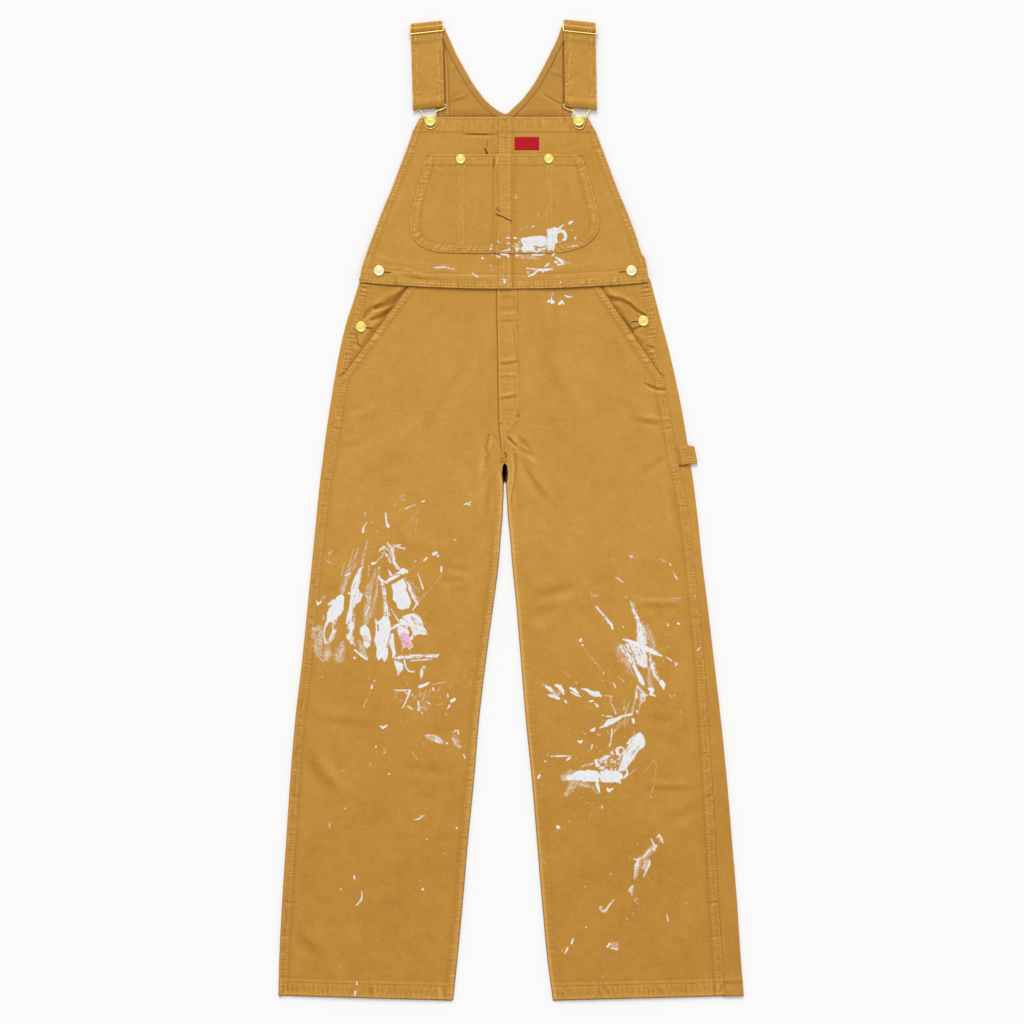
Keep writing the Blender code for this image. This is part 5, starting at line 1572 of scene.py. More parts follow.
RIGHT_HAND = (
    ("dry", (128, -145, 1.0), (137, -156, 1.5), (146, -167, 2.2)),
    ("solid", (146, -167, 2.0), (150, -171, 2.4), (152.5, -178, 1.8)),
    ("thin", (126, -128.5, 1.8), (130, -129, 1.2)),
    ("thin", (121, -124, 0.8), (121, -132, 0.8)),
    ("thin", (172, -131, 1.2), (173, -131, 1.2)),
    ("solid", (168, -175, 1.2), (168.5, -175.5, 1.2)),
    ("dry", (179, -137, 0.8), (183, -150, 2.4), (189, -162, 3.6), (193, -172, 4.8)),
    ("dry", (193, -172, 5.2), (195, -183, 6.6), (197, -200, 7.4)),
    ("dry", (183, -139, 0.7), (188, -152, 0.9)),
    ("solid", (189, -166, 0.8), (191, -182, 1.4), (191, -198, 1.4)),
    ("solid", (200, -181, 0.8), (203, -200, 1.2)),
    ("thin", (163, -208, 7.0), (170, -220, 7.0), (177, -232, 4.6)),
    ("solid", (188, -222, 1.6), (196, -232, 2.4), (204, -236, 1.2)),
    ("solid", (170, -205, 0.9), (178, -222, 1.0)),
    ("thin", (204, -174, 2.0), (209, -190, 5.0), (214, -206, 4.6)),
    ("solid", (168, -194, 1.3), (178, -197, 2.8), (190, -202, 4.0), (203, -208, 4.0)),
    ("solid", (203, -208, 4.0), (215, -214, 3.4), (226, -219, 0.8)),
    ("solid", (233, -221, 0.9), (241, -226, 1.3)),
    ("solid", (246, -229, 1.2), (250, -231.5, 0.9)),
    ("solid", (249, -230, 0.8), (246, -234, 1.0)),
    ("dry", (190, -208, 4.0), (198, -221, 5.6), (200, -231, 5.6)),
    ("solid", (184, -233, 2.4), (190, -245, 3.0), (196, -257, 3.8), (199, -262, 2.0)),
    ("dry", (207, -214, 2.2), (212, -232, 3.8), (216, -246, 4.0), (221, -253, 3.2)),
    ("solid", (225, -258, 3.4), (228, -262, 3.6), (229, -268, 1.4)),
    ("thin", (207, -238, 3.4), (207, -254, 3.4), (211, -267, 3.0)),
    ("gap", (197, -243, 3.8), (203, -243, 2.6)),
    ("solid", (206, -268, 1.6), (212, -270, 3.2), (210, -276, 2.4), (217, -279.5, 0.8)),
    ("thin", (162, -227, 1.5), (168, -229, 1.0)),
    ("thin", (170, -240, 0.6), (186, -250, 0.8)),
    ("thin", (176, -232, 1.0), (186, -252, 1.2)),
    ("dry", (189, -261, 1.4), (187, -280, 3.0)),
    ("dry", (190, -265, 2.2), (198, -278, 4.0), (197, -287, 3.4)),
    ("dry", (195, -280, 2.6), (203, -279, 2.4)),
    ("thin", (186, -285, 1.4), (181, -306, 1.4)),
    ("thin", (194, -290, 1.3), (191, -308, 1.0)),
    ("solid", (189, -302, 1.6), (189, -304, 1.2)),
    ("thin", (178, -284, 1.0), (171, -308, 1.2)),
    ("thin", (170, -286, 0.9), (169, -300, 0.9)),
    ("solid", (154, -260, 0.8), (156.5, -265.5, 1.3)),
    ("thin", (150, -259, 0.8), (151, -260, 0.8)),
    ("thin", (161, -250, 1.0), (170, -258, 0.8)),
    ("solid", (52, -264, 1.8), (58, -268, 3.0), (62, -272, 2.0)),
    ("solid", (67, -263, 2.0), (73, -265, 3.2), (77, -271, 2.8), (79, -276, 1.2)),
    ("solid", (57, -278, 2.0), (66, -280, 2.8), (72, -283, 2.0)),
    ("dry", (61, -271, 2.8), (69, -277, 2.8), (73, -274, 2.2)),
    ("solid", (81, -286, 1.4), (83, -289, 1.4)),
    ("thin", (46, -261, 0.9), (49, -263, 0.9)),
    ("thin", (51, -261, 0.8), (53, -262, 0.8)),
    ("solid", (89, -267, 1.6), (95, -270, 2.4), (101, -275, 1.2)),
    ("solid", (90, -273, 1.0), (97, -277, 1.6), (105, -280, 0.9)),
    ("solid", (106, -268, 0.9), (114, -270, 2.0), (122, -275, 3.8)),
    ("solid", (122, -275, 3.8), (130, -276, 4.0), (134, -279, 1.6)),
    ("thin", (134, -278, 0.8), (148, -279, 0.8)),
    ("thin", (150, -280, 1.6), (149, -289, 1.5)),
    ("dry", (151, -291, 1.0), (157, -305, 1.2)),
    ("solid", (118, -287, 1.6), (123, -286.5, 1.5)),
    ("solid", (126, -290, 0.9), (129.5, -294, 2.3)),
    ("thin", (117, -294, 0.9), (121, -297, 0.9)),
    ("solid", (105, -193, 1.5), (104.5, -196, 1.8)),
    ("thin", (100, -194, 0.8), (101, -195, 0.8)),
    ("solid", (107, -202, 1.4), (107.5, -202.5, 1.4)),
    ("thin", (108, -205, 0.6), (118, -218, 0.7), (130, -232, 0.6), (138, -243, 0.6)),
    ("solid", (138.5, -244, 0.9), (139, -245.5, 0.9)),
    ("thin", (80, -244, 0.4), (88, -250, 0.8)),
    ("thin", (97, -259, 0.9), (98, -260, 0.9)),
    ("solid", (133, -327, 0.8), (140, -324, 1.8), (147, -318.5, 4.6), (157, -314.5, 3.4)),
    ("solid", (157, -314.5, 3.4), (168, -309, 1.4), (181, -306.5, 1.8)),
    ("solid", (143, -309, 0.9), (151, -310, 0.9)),
    ("solid", (137, -308, 0.9), (139, -308, 0.9)),
    ("solid", (183, -314, 2.2), (184, -319, 1.8)),
    ("thin", (163, -318, 0.8), (154, -335, 0.8)),
    ("thin", (170, -315, 0.8), (160, -330, 0.8)),
    ("thin", (177, -312, 0.8), (170, -328, 0.8)),
    ("thin", (172, -312, 1.8), (170, -322, 1.4)),
    ("dry", (151, -329, 1.7), (150, -345, 1.3), (148, -355, 0.8)),
    ("thin", (144, -330, 0.9), (146, -336, 0.9)),
    ("solid", (120, -331, 1.4), (123, -330, 2.6), (125.5, -327, 1.2)),
    ("solid", (101, -347, 1.4), (104, -348, 2.4), (107, -346, 1.2)),
    ("thin", (111, -336, 1.2), (112, -336, 1.2)),
    ("thin", (130, -337, 1.3), (133, -337, 1.0)),
    ("thin", (112, -348, 1.0), (112, -349, 1.0)),
    ("solid", (122, -352, 0.8), (120.5, -358, 0.9)),
    ("thin", (117, -362, 0.9), (117, -364, 0.9)),
    ("thin", (107, -332, 0.7), (109, -332, 0.7)),
)
RIGHT_KNEE = (
    ("solid", (158, -362, 1.2), (160, -357, 1.4), (166, -355.5, 1.4), (170, -360, 1.2)),
    ("solid", (170, -360, 1.2), (168, -366, 1.2), (162, -367, 1.3), (158, -362, 1.2)),
    ("solid", (127, -376, 2.2), (129, -384, 1.8)),
    ("solid", (92, -400, 3.6), (102, -398.5, 7.4), (115, -398.5, 9.0), (128, -400, 8.6)),
    ("solid", (135, -400, 8.2), (148, -400, 9.2), (158, -400, 8.6), (164, -400, 4.6)),
    ("gap", (132.5, -402, 0.9), (134, -410, 1.5)),
    ("gap", (129, -388, 0.7), (134, -396, 0.7)),
    ("solid", (173, -388, 1.2), (175, -396, 1.6), (171, -400, 2.0), (169, -402, 0.9)),
    ("solid", (129, -411, 2.6), (131, -417, 2.2), (133, -424, 1.0)),
    ("solid", (145, -418, 1.6), (147, -421, 2.6), (154, -417, 0.7)),
    ("thin", (98, -407, 4.4), (90, -416, 4.4), (83, -426, 3.2)),
    ("dry", (97, -400, 7.5), (88, -401, 6.0), (80, -403, 3.0)),
    ("thin", (90, -396, 6.0), (78, -400, 3.0)),
    ("thin", (105, -411, 3.2), (117, -414, 2.8)),
    ("thin", (122, -415, 1.8), (128, -424, 1.8)),
    ("dry", (104, -388, 1.0), (112, -383, 1.4), (122, -380, 1.4)),
    ("solid", (163, -409, 1.4), (164, -409, 1.2)),
    ("solid", (60, -369.5, 0.6), (72, -369, 1.3), (80, -369, 1.1), (90, -369, 0.6)),
    ("solid", (84, -375, 1.1), (88, -372, 1.7)),
    ("solid", (51, -377, 1.2), (52, -377, 1.2)),
    ("thin", (55, -367, 1.1), (56, -368, 1.1)),
    ("solid", (43, -398, 1.8), (41, -402, 1.6)),
    ("thin", (46, -410, 1.2), (46, -413, 1.0)),
    ("thin", (213, -374, 0.5), (207, -384, 0.5), (201, -392, 0.5)),
    ("thin", (214, -375, 0.5), (217, -380, 0.5), (218, -387, 0.5)),
    ("thin", (186, -389, 0.7), (179, -396, 0.7)),
    ("thin", (184, -333, 1.0), (185, -336, 1.0)),
    ("thin", (170, -340, 0.8), (171, -341, 0.8)),
    ("solid", (250.5, -170, 2.0), (252, -170.5, 1.6)),
    ("solid", (235, -171, 0.9), (236, -174, 1.2)),
    ("thin", (230, -170, 0.7), (234, -170, 0.7)),
    ("thin", (226, -137, 0.9), (228, -141, 0.9)),
    ("thin", (236, -205, 1.0), (236, -206, 1.0)),
    ("thin", (240, -133, 0.8), (256, -132.5, 0.7)),
    ("thin", (242, -137, 0.9), (244, -137, 0.9)),
    ("thin", (238, -278, 1.4), (240, -281, 1.4)),
    ("thin", (137, -49, 0.7), (151, -54.5, 0.7)),
    ("solid", (177.5, -68.5, 0.9), (182.5, -71, 1.1)),
    ("thin", (182, -67, 0.9), (180, -72, 0.9)),
    ("thin", (224, -73, 1.0), (231, -77.5, 1.1)),
    ("solid", (238, -80, 0.7), (239.5, -83, 1.0)),
    ("thin", (243, -92, 0.8), (245, -97, 1.0)),
    ("solid", (245, -97, 0.9), (249, -103.5, 1.2)),
    ("solid", (157.5, -101, 0.6), (162, -104, 1.1), (168, -108.5, 0.6)),
    ("thin", (171, -103, 0.7), (176, -106, 0.8)),
    ("thin", (148, -92.5, 0.9), (148.5, -93, 0.8)),
    ("thin", (161, -50, 0.9), (161.5, -50, 0.8)),
    ("thin", (217, -118, 1.2), (218, -119, 1.0)),
    ("solid", (275, -129, 0.9), (276, -130, 0.9)),
    ("solid", (279, -211, 0.7), (282, -209, 1.0), (283.5, -206, 0.7)),
    ("thin", (244, -278, 1.5), (246, -278, 1.3)),
    ("thin", (254, -302.5, 1.4), (255, -303.5, 1.2)),
    ("thin", (86, -338, 0.9), (85, -338, 0.9)),
    ("solid", (70, -475.5, 2.6), (72, -476, 2.2)),
    ("thin", (72, -477, 1.4), (68, -482, 1.0)),
    ("solid", (136, -444, 0.9), (137, -447, 0.9)),
    ("solid", (219, -491, 0.7), (222.5, -487, 1.2), (226, -493, 1.3), (228, -500, 0.8)),
    ("thin", (221, -489, 2.0), (224, -497, 2.2)),
    ("solid", (210, -493, 0.7), (213, -499, 1.0), (216, -504, 1.5)),
    ("dab", (216, -504, 3.0), (214, -510, 3.6), (208, -514, 2.6)),
    ("thin", (214, -506, 4.0), (204, -516, 4.4), (198, -522, 4.2)),
    ("dry", (207, -510, 1.4), (199, -521, 1.6)),
    ("solid", (184, -523.5, 0.6), (190, -525, 1.4), (196, -522, 0.7)),
    ("dry", (190, -525, 3.0), (188, -534, 3.0), (186, -544, 1.6), (184.5, -555, 0.9)),
    ("thin", (192, -525, 4.0), (189, -540, 3.0), (186, -552, 1.6)),
    ("solid", (208, -525, 1.0), (207.5, -532, 1.5), (205, -538, 0.8)),
    ("dry", (206, -528, 2.6), (203, -540, 2.2), (199, -549, 0.9)),
    ("thin", (203, -526, 3.6), (199, -536, 3.0)),
    ("solid", (183, -564, 1.0), (178, -568, 1.0), (176.5, -572, 0.8)),
    ("thin", (181, -567, 2.4), (180, -572, 2.6), (181, -577, 1.6)),
    ("solid", (181, -567, 0.7), (180, -573, 0.7), (181.5, -578, 0.7)),
    ("thin", (134, -595, 1.4), (136, -601, 1.6), (142, -603, 1.2)),
    ("solid", (137, -602, 1.0), (142, -600.5, 1.6), (148, -592, 1.1), (154, -585, 0.7)),
    ("solid", (132.5, -597, 0.8), (136, -594, 0.7)),
    ("solid", (233, -606, 0.5), (234.5, -611, 0.8), (236, -617, 0.9)),
    ("solid", (112, -625.5, 0.9), (113, -626, 1.0)),
    ("thin", (185, -586, 0.7), (191, -591, 0.8)),
    ("thin", (262, -589, 0.8), (263, -589, 0.8)),
    ("thin", (183, -605, 0.8), (183, -606, 0.8)),
    ("thin", (173, -614, 0.7), (175, -612, 0.7)),
    ("solid", (93, -644, 1.2), (91, -650, 1.5)),
    ("solid", (85, -657, 1.4), (81, -665, 1.0)),
    ("solid", (144.5, -655, 1.4), (148, -650.5, 1.4)),
    ("thin", (150, -650, 2.4), (158, -651, 2.6)),
    ("thin", (151, -655, 2.6), (159, -656, 2.4)),
    ("solid", (151, -657, 1.0), (159, -659, 1.2)),
    ("solid", (150, -545, 0.9), (150, -546, 0.9)),
    ("thin", (42.6, -516, 0.6), (50.5, -530, 0.6)),
    ("thin", (217, -388, 0.45), (216, -405, 0.4), (210, -428, 0.4)),
    ("solid", (209.5, -430.5, 0.9), (209.8, -430.8, 0.9)),
    ("thin", (87.5, -466, 0.9), (88.3, -468, 0.9)),
    ("solid", (114, -439, 0.7), (114.3, -439.3, 0.7)),
    ("thin", (125, -450, 0.5), (120, -456, 0.4), (117, -463, 0.5)),
    ("thin", (186, -583, 0.8), (190, -584, 0.8)),
)
BIB_PAINT = (
    ("solid", (70, 416, 1.6), (74, 418, 2.2), (79, 417, 2.6), (82, 412, 2.6), (81, 406, 2.0)),
    ("solid", (81, 406, 2.0), (78, 404.5, 1.4)),
    ("gap", (39, 394.5, 0.9), (40, 390, 0.9)),
    ("dry", (42, 391, 1.5), (50, 394, 1.1), (54, 396, 1.1)),
    ("thin", (14, 405, 1.6), (12, 398, 2.0), (12, 391, 2.0)),
    ("solid", (7, 407.5, 1.2), (7.5, 407.5, 1.1)),
    ("solid", (8.5, 398, 1.3), (9, 397, 1.2)),
    ("solid", (11, 392, 1.2), (8.5, 388, 1.3)),
    ("solid", (11.5, 402, 1.0), (12, 401, 1.0)),
    ("solid", (5, 408, 1.4), (8, 407, 1.0)),
    ("solid", (-8, 408, 0.9), (-3, 407.5, 1.5)),
    ("thin", (5, 399, 1.3), (6, 399, 1.2)),
    ("solid", (-4, 399.5, 1.8), (-3, 399.5, 1.4)),
    ("solid", (-20, 403, 0.9), (-18.5, 400.5, 1.2)),
    ("solid", (-29, 397, 1.2), (-29, 396, 1.1)),
    ("solid", (-30, 392, 1.4), (-30, 390.5, 1.2)),
    ("solid", (-13, 388, 0.9), (-5, 389.5, 1.3)),
    ("solid", (-3, 392, 1.2), (-3, 390, 1.8)),
    ("solid", (7, 393, 1.2), (8.5, 390, 1.7)),
    ("thin", (0, 396, 0.9), (12, 394, 0.9)),
    ("solid", (-22, 382, 0.8), (-18, 379, 1.9)),
    ("solid", (-15, 383.5, 1.3), (-6, 382.5, 1.7), (-4, 379.5, 1.5)),
    ("thin", (-29, 383, 0.9), (-27, 382, 0.9)),
    ("thin", (8, 381.5, 2.0), (20, 379.5, 2.6), (32, 379, 2.8), (41, 377, 2.0)),
    ("solid", (8, 381.5, 1.4), (10, 381, 1.2)),
    ("solid", (32, 382.5, 1.2), (44, 382.5, 1.3), (51, 383.5, 0.7)),
    ("solid", (62, 381.5, 1.1), (65, 384, 1.4)),
    ("solid", (-43, 377.5, 1.5), (-42, 377, 1.4)),
    ("thin", (-44, 381.5, 0.9), (-43.5, 381.5, 0.9)),
    ("thin", (-30, 367, 1.5), (-29.5, 367, 1.4)),
    ("thin", (-29, 360, 1.1), (-27, 360.5, 1.0)),
    ("solid", (67, 379, 1.0), (73, 375, 2.4), (76, 372.5, 2.6)),
    ("thin", (76, 372.5, 2.6), (88, 371, 1.0)),
    ("solid", (66, 372, 1.8), (69, 371, 1.6)),
    ("solid", (70, 367.5, 1.3), (79, 369, 1.2)),
    ("solid", (51, 365.5, 0.9), (55, 367.5, 1.6), (57, 371, 0.8)),
    ("dry", (24, 362, 1.6), (34, 361, 1.6), (42, 360.5, 2.2)),
    ("solid", (42, 360, 1.8), (52, 360, 2.0), (62, 361.5, 1.1)),
    ("dry", (24, 356, 1.6), (27, 356, 1.4)),
    ("solid", (26, 350, 0.9), (32, 352.5, 1.8), (36, 355, 1.5), (39, 359, 1.4)),
    ("solid", (48, 357, 1.4), (48, 358, 1.4)),
    ("solid", (-58, 355, 0.9), (-54, 352, 1.0), (-50, 350, 1.4)),
    ("thin", (-46, 350, 1.2), (-44, 350, 1.0)),
    ("dry", (-12, 345, 1.4), (-7, 345, 1.2), (-10, 341, 2.2)),
    ("thin", (15, 342, 1.0), (17, 338, 1.0)),
    ("thin", (69, 350.5, 1.3), (70, 350.5, 1.2)),
    ("solid", (74, 341.5, 1.4), (74.5, 341.5, 1.3)),
    ("thin", (30, 335.5, 0.9), (33, 334.5, 1.0)),
    ("thin", (24.5, 424, 1.3), (25, 424, 1.2)),
    ("solid", (33, 425, 1.3), (33.5, 425, 1.3)),
    ("thin", (14, 420.5, 1.1), (14.5, 420.5, 1.0)),
    ("thin", (48, 416, 1.2), (49, 418, 1.2)),
    ("thin", (7, 472, 0.9), (7, 473, 0.9)),
    ("thin", (7.5, 468, 1.6), (8, 468, 1.4)),
    ("thin", (41.5, 442, 1.2), (41.5, 444, 1.2)),
    ("thin", (51, 443, 1.6), (51.5, 443, 1.5)),
    ("thin", (91, 420, 1.5), (91.5, 420, 1.4)),
    ("solid", (96, 407.5, 1.5), (96.5, 407.5, 1.4)),
    ("solid", (88, 430, 2.0), (92, 432.5, 1.6)),
    ("dry", (85, 393.5, 1.2), (92, 395, 1.2), (100, 397, 0.9)),
    ("thin", (72, 401, 0.8), (75, 403, 0.8)),
    ("thin", (57, 322, 1.4), (58, 322, 1.2)),
    ("thin", (62, 325.5, 1.3), (63, 322, 0.9)),
    ("solid", (61, 319, 1.0), (61, 314, 1.8)),
    ("solid", (56, 313, 2.2), (57, 314, 2.2)),
    ("solid", (61, 312, 2.4), (63, 312, 2.4)),
    ("solid", (72.5, 309.5, 2.2), (77, 313, 1.8)),
    ("solid", (78.5, 309.5, 1.4), (78.5, 310.5, 1.2)),
    ("thin", (75.5, 319, 1.2), (76, 319, 1.0)),
    ("solid", (80, 322, 0.8), (86, 319.5, 1.5), (91, 320, 0.7)),
    ("dry", (-115, 363, 0.8), (-100, 364, 1.3), (-86, 361, 1.7)),
    ("thin", (-104, 367, 0.8), (-96, 367, 0.8)),
)
STROKES = LEFT_HAND + LEFT_KNEE + RIGHT_HAND + RIGHT_KNEE + BIB_PAINT

PATCHES = (
    # kind, heading of the brush, then the outline of an area of paint
    ("solid", -75, (-180, -113), (-172, -108), (-161, -103), (-157, -112), (-154, -125), (-150, -138),
     (-152, -147), (-158, -148), (-163, -150), (-170, -147), (-172, -140), (-177, -135), (-177, -122)),
    ("brush", -35, (-168, -165), (-160, -158), (-147, -154), (-138, -158), (-133, -164), (-131, -172),
     (-128, -180), (-123, -188), (-130, -188), (-138, -186), (-145, -190), (-150, -197),
     (-147, -203), (-156, -207), (-162, -206), (-165, -198), (-169, -190), (-171, -180)),
    ("solid", -80, (-204, -161), (-200, -167), (-195, -163), (-190, -158), (-184, -160), (-181, -168),
     (-180, -180), (-182, -188), (-180, -196), (-184, -205), (-185, -222), (-190, -229),
     (-194, -222), (-199, -227), (-202, -220), (-202, -205), (-206, -196), (-203, -185), (-203, -172)),
    ("brush", -75, (-177, -224), (-170, -226), (-162, -231), (-161, -239), (-166, -244), (-170, -249),
     (-172, -240), (-175, -230)),
    ("brush", 74, (-221, -82), (-224, -100), (-229, -118), (-222, -127), (-226, -138), (-233, -142),
     (-237, -152), (-240, -160), (-245, -174), (-248, -170), (-247, -160), (-243, -145),
     (-241, -130), (-240, -115), (-236, -103), (-228, -88)),
    ("solid", 70, (-262, -130), (-253, -125), (-250, -130), (-251, -150), (-255, -156), (-262, -163),
     (-270, -169), (-276, -167), (-276, -155), (-272, -146), (-266, -138)),
    ("brush", -65, (-226, -176), (-219, -171), (-213, -178), (-209, -190), (-210, -203), (-216, -208),
     (-221, -204), (-222, -195), (-227, -185)),
    ("dry", -66, (163, -202), (178, -199), (190, -205), (200, -209), (207, -212), (205, -222),
     (206, -235), (203, -239), (193, -233), (184, -232), (176, -229), (170, -220), (163, -208)),
    ("brush", 52, (173, -349), (180, -341), (187, -336), (194, -333), (199, -339), (202, -347),
     (201, -356), (197, -358), (192, -361), (188, -368), (183, -376), (176, -384), (172, -391),
     (160, -392), (163, -382), (166, -374), (168, -366), (172, -358), (173, -352)),
    ("dab", -80, (128, -374), (135, -372), (148, -363), (157, -358), (162, -357), (168, -366),
     (163, -380), (158, -391), (140, -393), (130, -391), (128, -384)),
    ("solid", 80, (15, 408), (25, 409), (35, 410.5), (44, 411.5), (54, 409), (54, 397), (51, 387),
     (44, 388.5), (40, 386), (36, 386), (27, 388), (22, 386), (17, 387), (14.5, 392), (18, 397),
     (15.5, 402)),
    ("solid", 60, (54, 420), (60, 422), (65, 424), (70, 423), (78, 428.5), (79, 427), (74, 421),
     (69, 418), (70, 414), (69, 408), (71, 401), (66, 399), (65, 392), (64, 389), (55, 389), (54, 400)),
)
PATCH_GAPS = (
    ("gap", (34, 395, 1.0), (39, 394, 1.3), (45, 393, 0.9), (51, 394.5, 1.1)),
    ("gap", (37, 391.5, 1.3), (38, 388.5, 0.7)),
    ("gap", (46, 390, 0.8), (50, 389, 0.7)),
    ("gap", (-153, -177, 1.6), (-150, -183, 2.2), (-152, -189, 1.6)),
    ("gap", (-175, -183, 3.4), (-174, -184, 3.0)),
    ("gap", (-171, -195, 3.6), (-167, -205, 3.8)),
    ("gap", (-200, -172, 0.9), (-199, -181, 0.8)),
    ("gap", (-150, -160, 0.5), (-142, -172, 0.5)),
    ("gap", (164, -361, 2.4), (165.5, -361.5, 2.2)),
    ("gap", (175, -352, 0.9), (172, -360, 0.8)),
    ("gap", (-183, -192, 0.9), (-186, -206, 0.8)),
)
SPRAYS = (
    # middle, reach and number of fine drops
    (-190, -170, 44, 60), (-130, -285, 22, 44), (-225, -80, 24, 16),
    (190, -230, 36, 70), (140, -300, 32, 60), (125, -390, 32, 60), (205, -530, 16, 14),
    (10, 398, 22, 34), (58, 372, 18, 16), (-190, -440, 60, 12), (120, -600, 50, 10),
)
PINK = ((-160, -190, 6.5), (-156, -201, 6.0))


def capsule(x, y, first, second):
    """Depth inside a tapered capsule between two (x, y, half width)s."""
    t, away = to_segment(x, y, first, second)
    return first[2] + (second[2] - first[2]) * t - away


def inside_outline(x, y, outline):
    """Depth inside an outline, below zero outside it."""
    depth = np.full(x.shape, 1e9)
    odd = np.zeros(x.shape, bool)
    for first, second in zip(outline, outline[1:] + outline[:1]):
        depth = np.minimum(depth, to_segment(x, y, first, second)[1])
        (x0, y0), (x1, y1) = first, second
        if y0 != y1:
            odd ^= ((y0 > y) != (y1 > y)) & (x < x0 + (y - y0) * (x1 - x0) / (y1 - y0))
    return np.where(odd, depth, -depth)


class Canvas:
    """A grid over the garment that holds how well paint covers each point."""

    def __init__(self):
        self.x = np.arange(-310, 290, PAINT_STEP)
        self.y = np.arange(-734, 500, PAINT_STEP)
        self.cover = np.zeros((len(self.y), len(self.x)))

    def window(self, xs, ys, margin=5.0):
        """Slices of the grid round some points, and the grid's places there."""
        i = np.searchsorted(self.x, (min(xs) - margin, max(xs) + margin))
        j = np.searchsorted(self.y, (min(ys) - margin, max(ys) + margin))
        part = (slice(j[0], j[1]), slice(i[0], i[1]))
        x, y = np.meshgrid(self.x[part[1]], self.y[part[0]])
        return part, x, y

    def add(self, kind, part, cover):
        """Put one shape's cover on the grid."""
        old = self.cover[part]
        if kind == "gap":
            self.cover[part] = old * (1 - cover)
        else:
            self.cover[part] = np.maximum(old, cover)


def covering(kind, x, y, depth, size, heading):
    """How well a shape covers, from its depth: smooth rims where it was wet,
    streaks along the brush, the high yarns alone where it ran dry."""
    if kind == "gap":
        return np.clip(0.5 + (depth + 0.4 * noise(x, y, 2.5, 401)) / 1.1, 0, 1)
    inside = depth + noise(x, y, 4.0, 401, 2) * min(1.5, 0.15 + size * ROUGH_RIM[kind])
    streak = noise(x, y, 1.5, 421, 2, heading=heading, stretch=9.0)
    speck = noise(x, y, 1.7, 431, 2)
    feather = 1.4 + 0.8 * size
    soft = np.clip((inside + 0.6 * feather) / feather, 0, 1)
    if kind == "solid":
        return np.clip(0.5 + inside / 1.2, 0, 1) * (1 - 0.16 * ramp(streak + speck, -0.2, 0.9))
    if kind == "brush":
        body = np.clip(0.45 + inside / 2.6, 0, 1)
        return body * (1 - 0.75 * ramp(streak + 0.4 * speck, 0.4 * body - 0.3, 0.4 * body + 0.45))
    if kind == "dry":
        share = ramp(0.9 * streak + 0.6 * speck, 0.7 * soft - 0.95, 0.5 * soft + 0.15)
        return soft * (1 - 0.85 * share)
    if kind == "dab":
        pooled = noise(x, y, 4.2, 451, 2) + 0.5 * speck
        return np.clip(0.5 + inside / 1.5, 0, 1) * (0.85 - 0.75 * ramp(pooled, -0.45, 0.25))
    return soft * (0.66 - 0.45 * ramp(0.6 * streak + 0.6 * speck, -0.5, 0.5))


def spray(canvas):
    """Fine drops flung over the knees and the bib."""
    for number, (x, y, reach, count) in enumerate(SPRAYS):
        chance = np.random.RandomState(600 + number)
        for _ in range(count):
            px, py = x + chance.normal() * reach, y + chance.normal() * reach
            size, stretch, turn = 0.30 + 0.6 * chance.rand() ** 2, chance.rand() * 1.6, chance.rand() * 6.3
            part, gx, gy = canvas.window((px,), (py,), 4.0)
            depth = capsule(gx, gy, (px, py, size), (*step_from(px, py, turn, stretch), size * 0.8))
            canvas.add("solid", part, np.clip(0.35 + depth, 0, 0.35 + 0.5 * chance.rand()))


def paint_cover():
    """The canvas with every patch, stroke and drop on it."""
    canvas = Canvas()
    for kind, heading, *outline in PATCHES:
        part, x, y = canvas.window(*zip(*outline), 10.0)
        depth = inside_outline(x, y, outline)
        canvas.add(kind, part, covering(kind, x, y, depth, 4.0, heading))
    for kind, *line in STROKES + PATCH_GAPS:
        for first, second in zip(line, line[1:]):
            part, x, y = canvas.window((first[0], second[0]), (first[1], second[1]), 14.0)
            heading = math.degrees(math.atan2(second[1] - first[1], second[0] - first[0]))
            depth, size = capsule(x, y, first, second), max(first[2], second[2])
            canvas.add(kind, part, covering(kind, x, y, depth, size, heading))
    spray(canvas)
    return canvas


def film(canvas):
    """Polygons of the painted area, cut along its rim between grid points."""
    depth, places, covers = canvas.cover - FAINTEST, [], []
    numbers, faces = {}, []

    def numbered(key, x, y, cover):
        """The number of a corner, which is made when it is first asked for."""
        if key not in numbers:
            numbers[key] = len(places)
            places.append((x, y))
            covers.append(cover)
        return numbers[key]

    def corner(at):
        """A grid point under the paint."""
        return numbered(at, canvas.x[at[1]], canvas.y[at[0]], canvas.cover[at])

    def crossing(first, second):
        """Where the rim cuts the line between a painted and a bare point."""
        t = depth[first] / (depth[first] - depth[second])
        x0, y0 = canvas.x[first[1]], canvas.y[first[0]]
        x1, y1 = canvas.x[second[1]], canvas.y[second[0]]
        key = (min(first, second), max(first, second))
        return numbered(key, x0 + t * (x1 - x0), y0 + t * (y1 - y0), FAINTEST)

    wet = depth > 0
    some = wet[:-1, :-1] | wet[1:, :-1] | wet[:-1, 1:] | wet[1:, 1:]
    for j, i in zip(*np.nonzero(some)):
        ring = ((j, i), (j, i + 1), (j + 1, i + 1), (j + 1, i))
        face = []
        for first, second in zip(ring, ring[1:] + ring[:1]):
            if wet[first]:
                face.append(corner(first))
            if wet[first] != wet[second]:
                face.append(crossing(first, second))
        if len(face) > 2:
            faces.append(face)
    return np.array(places), faces, np.array(covers)


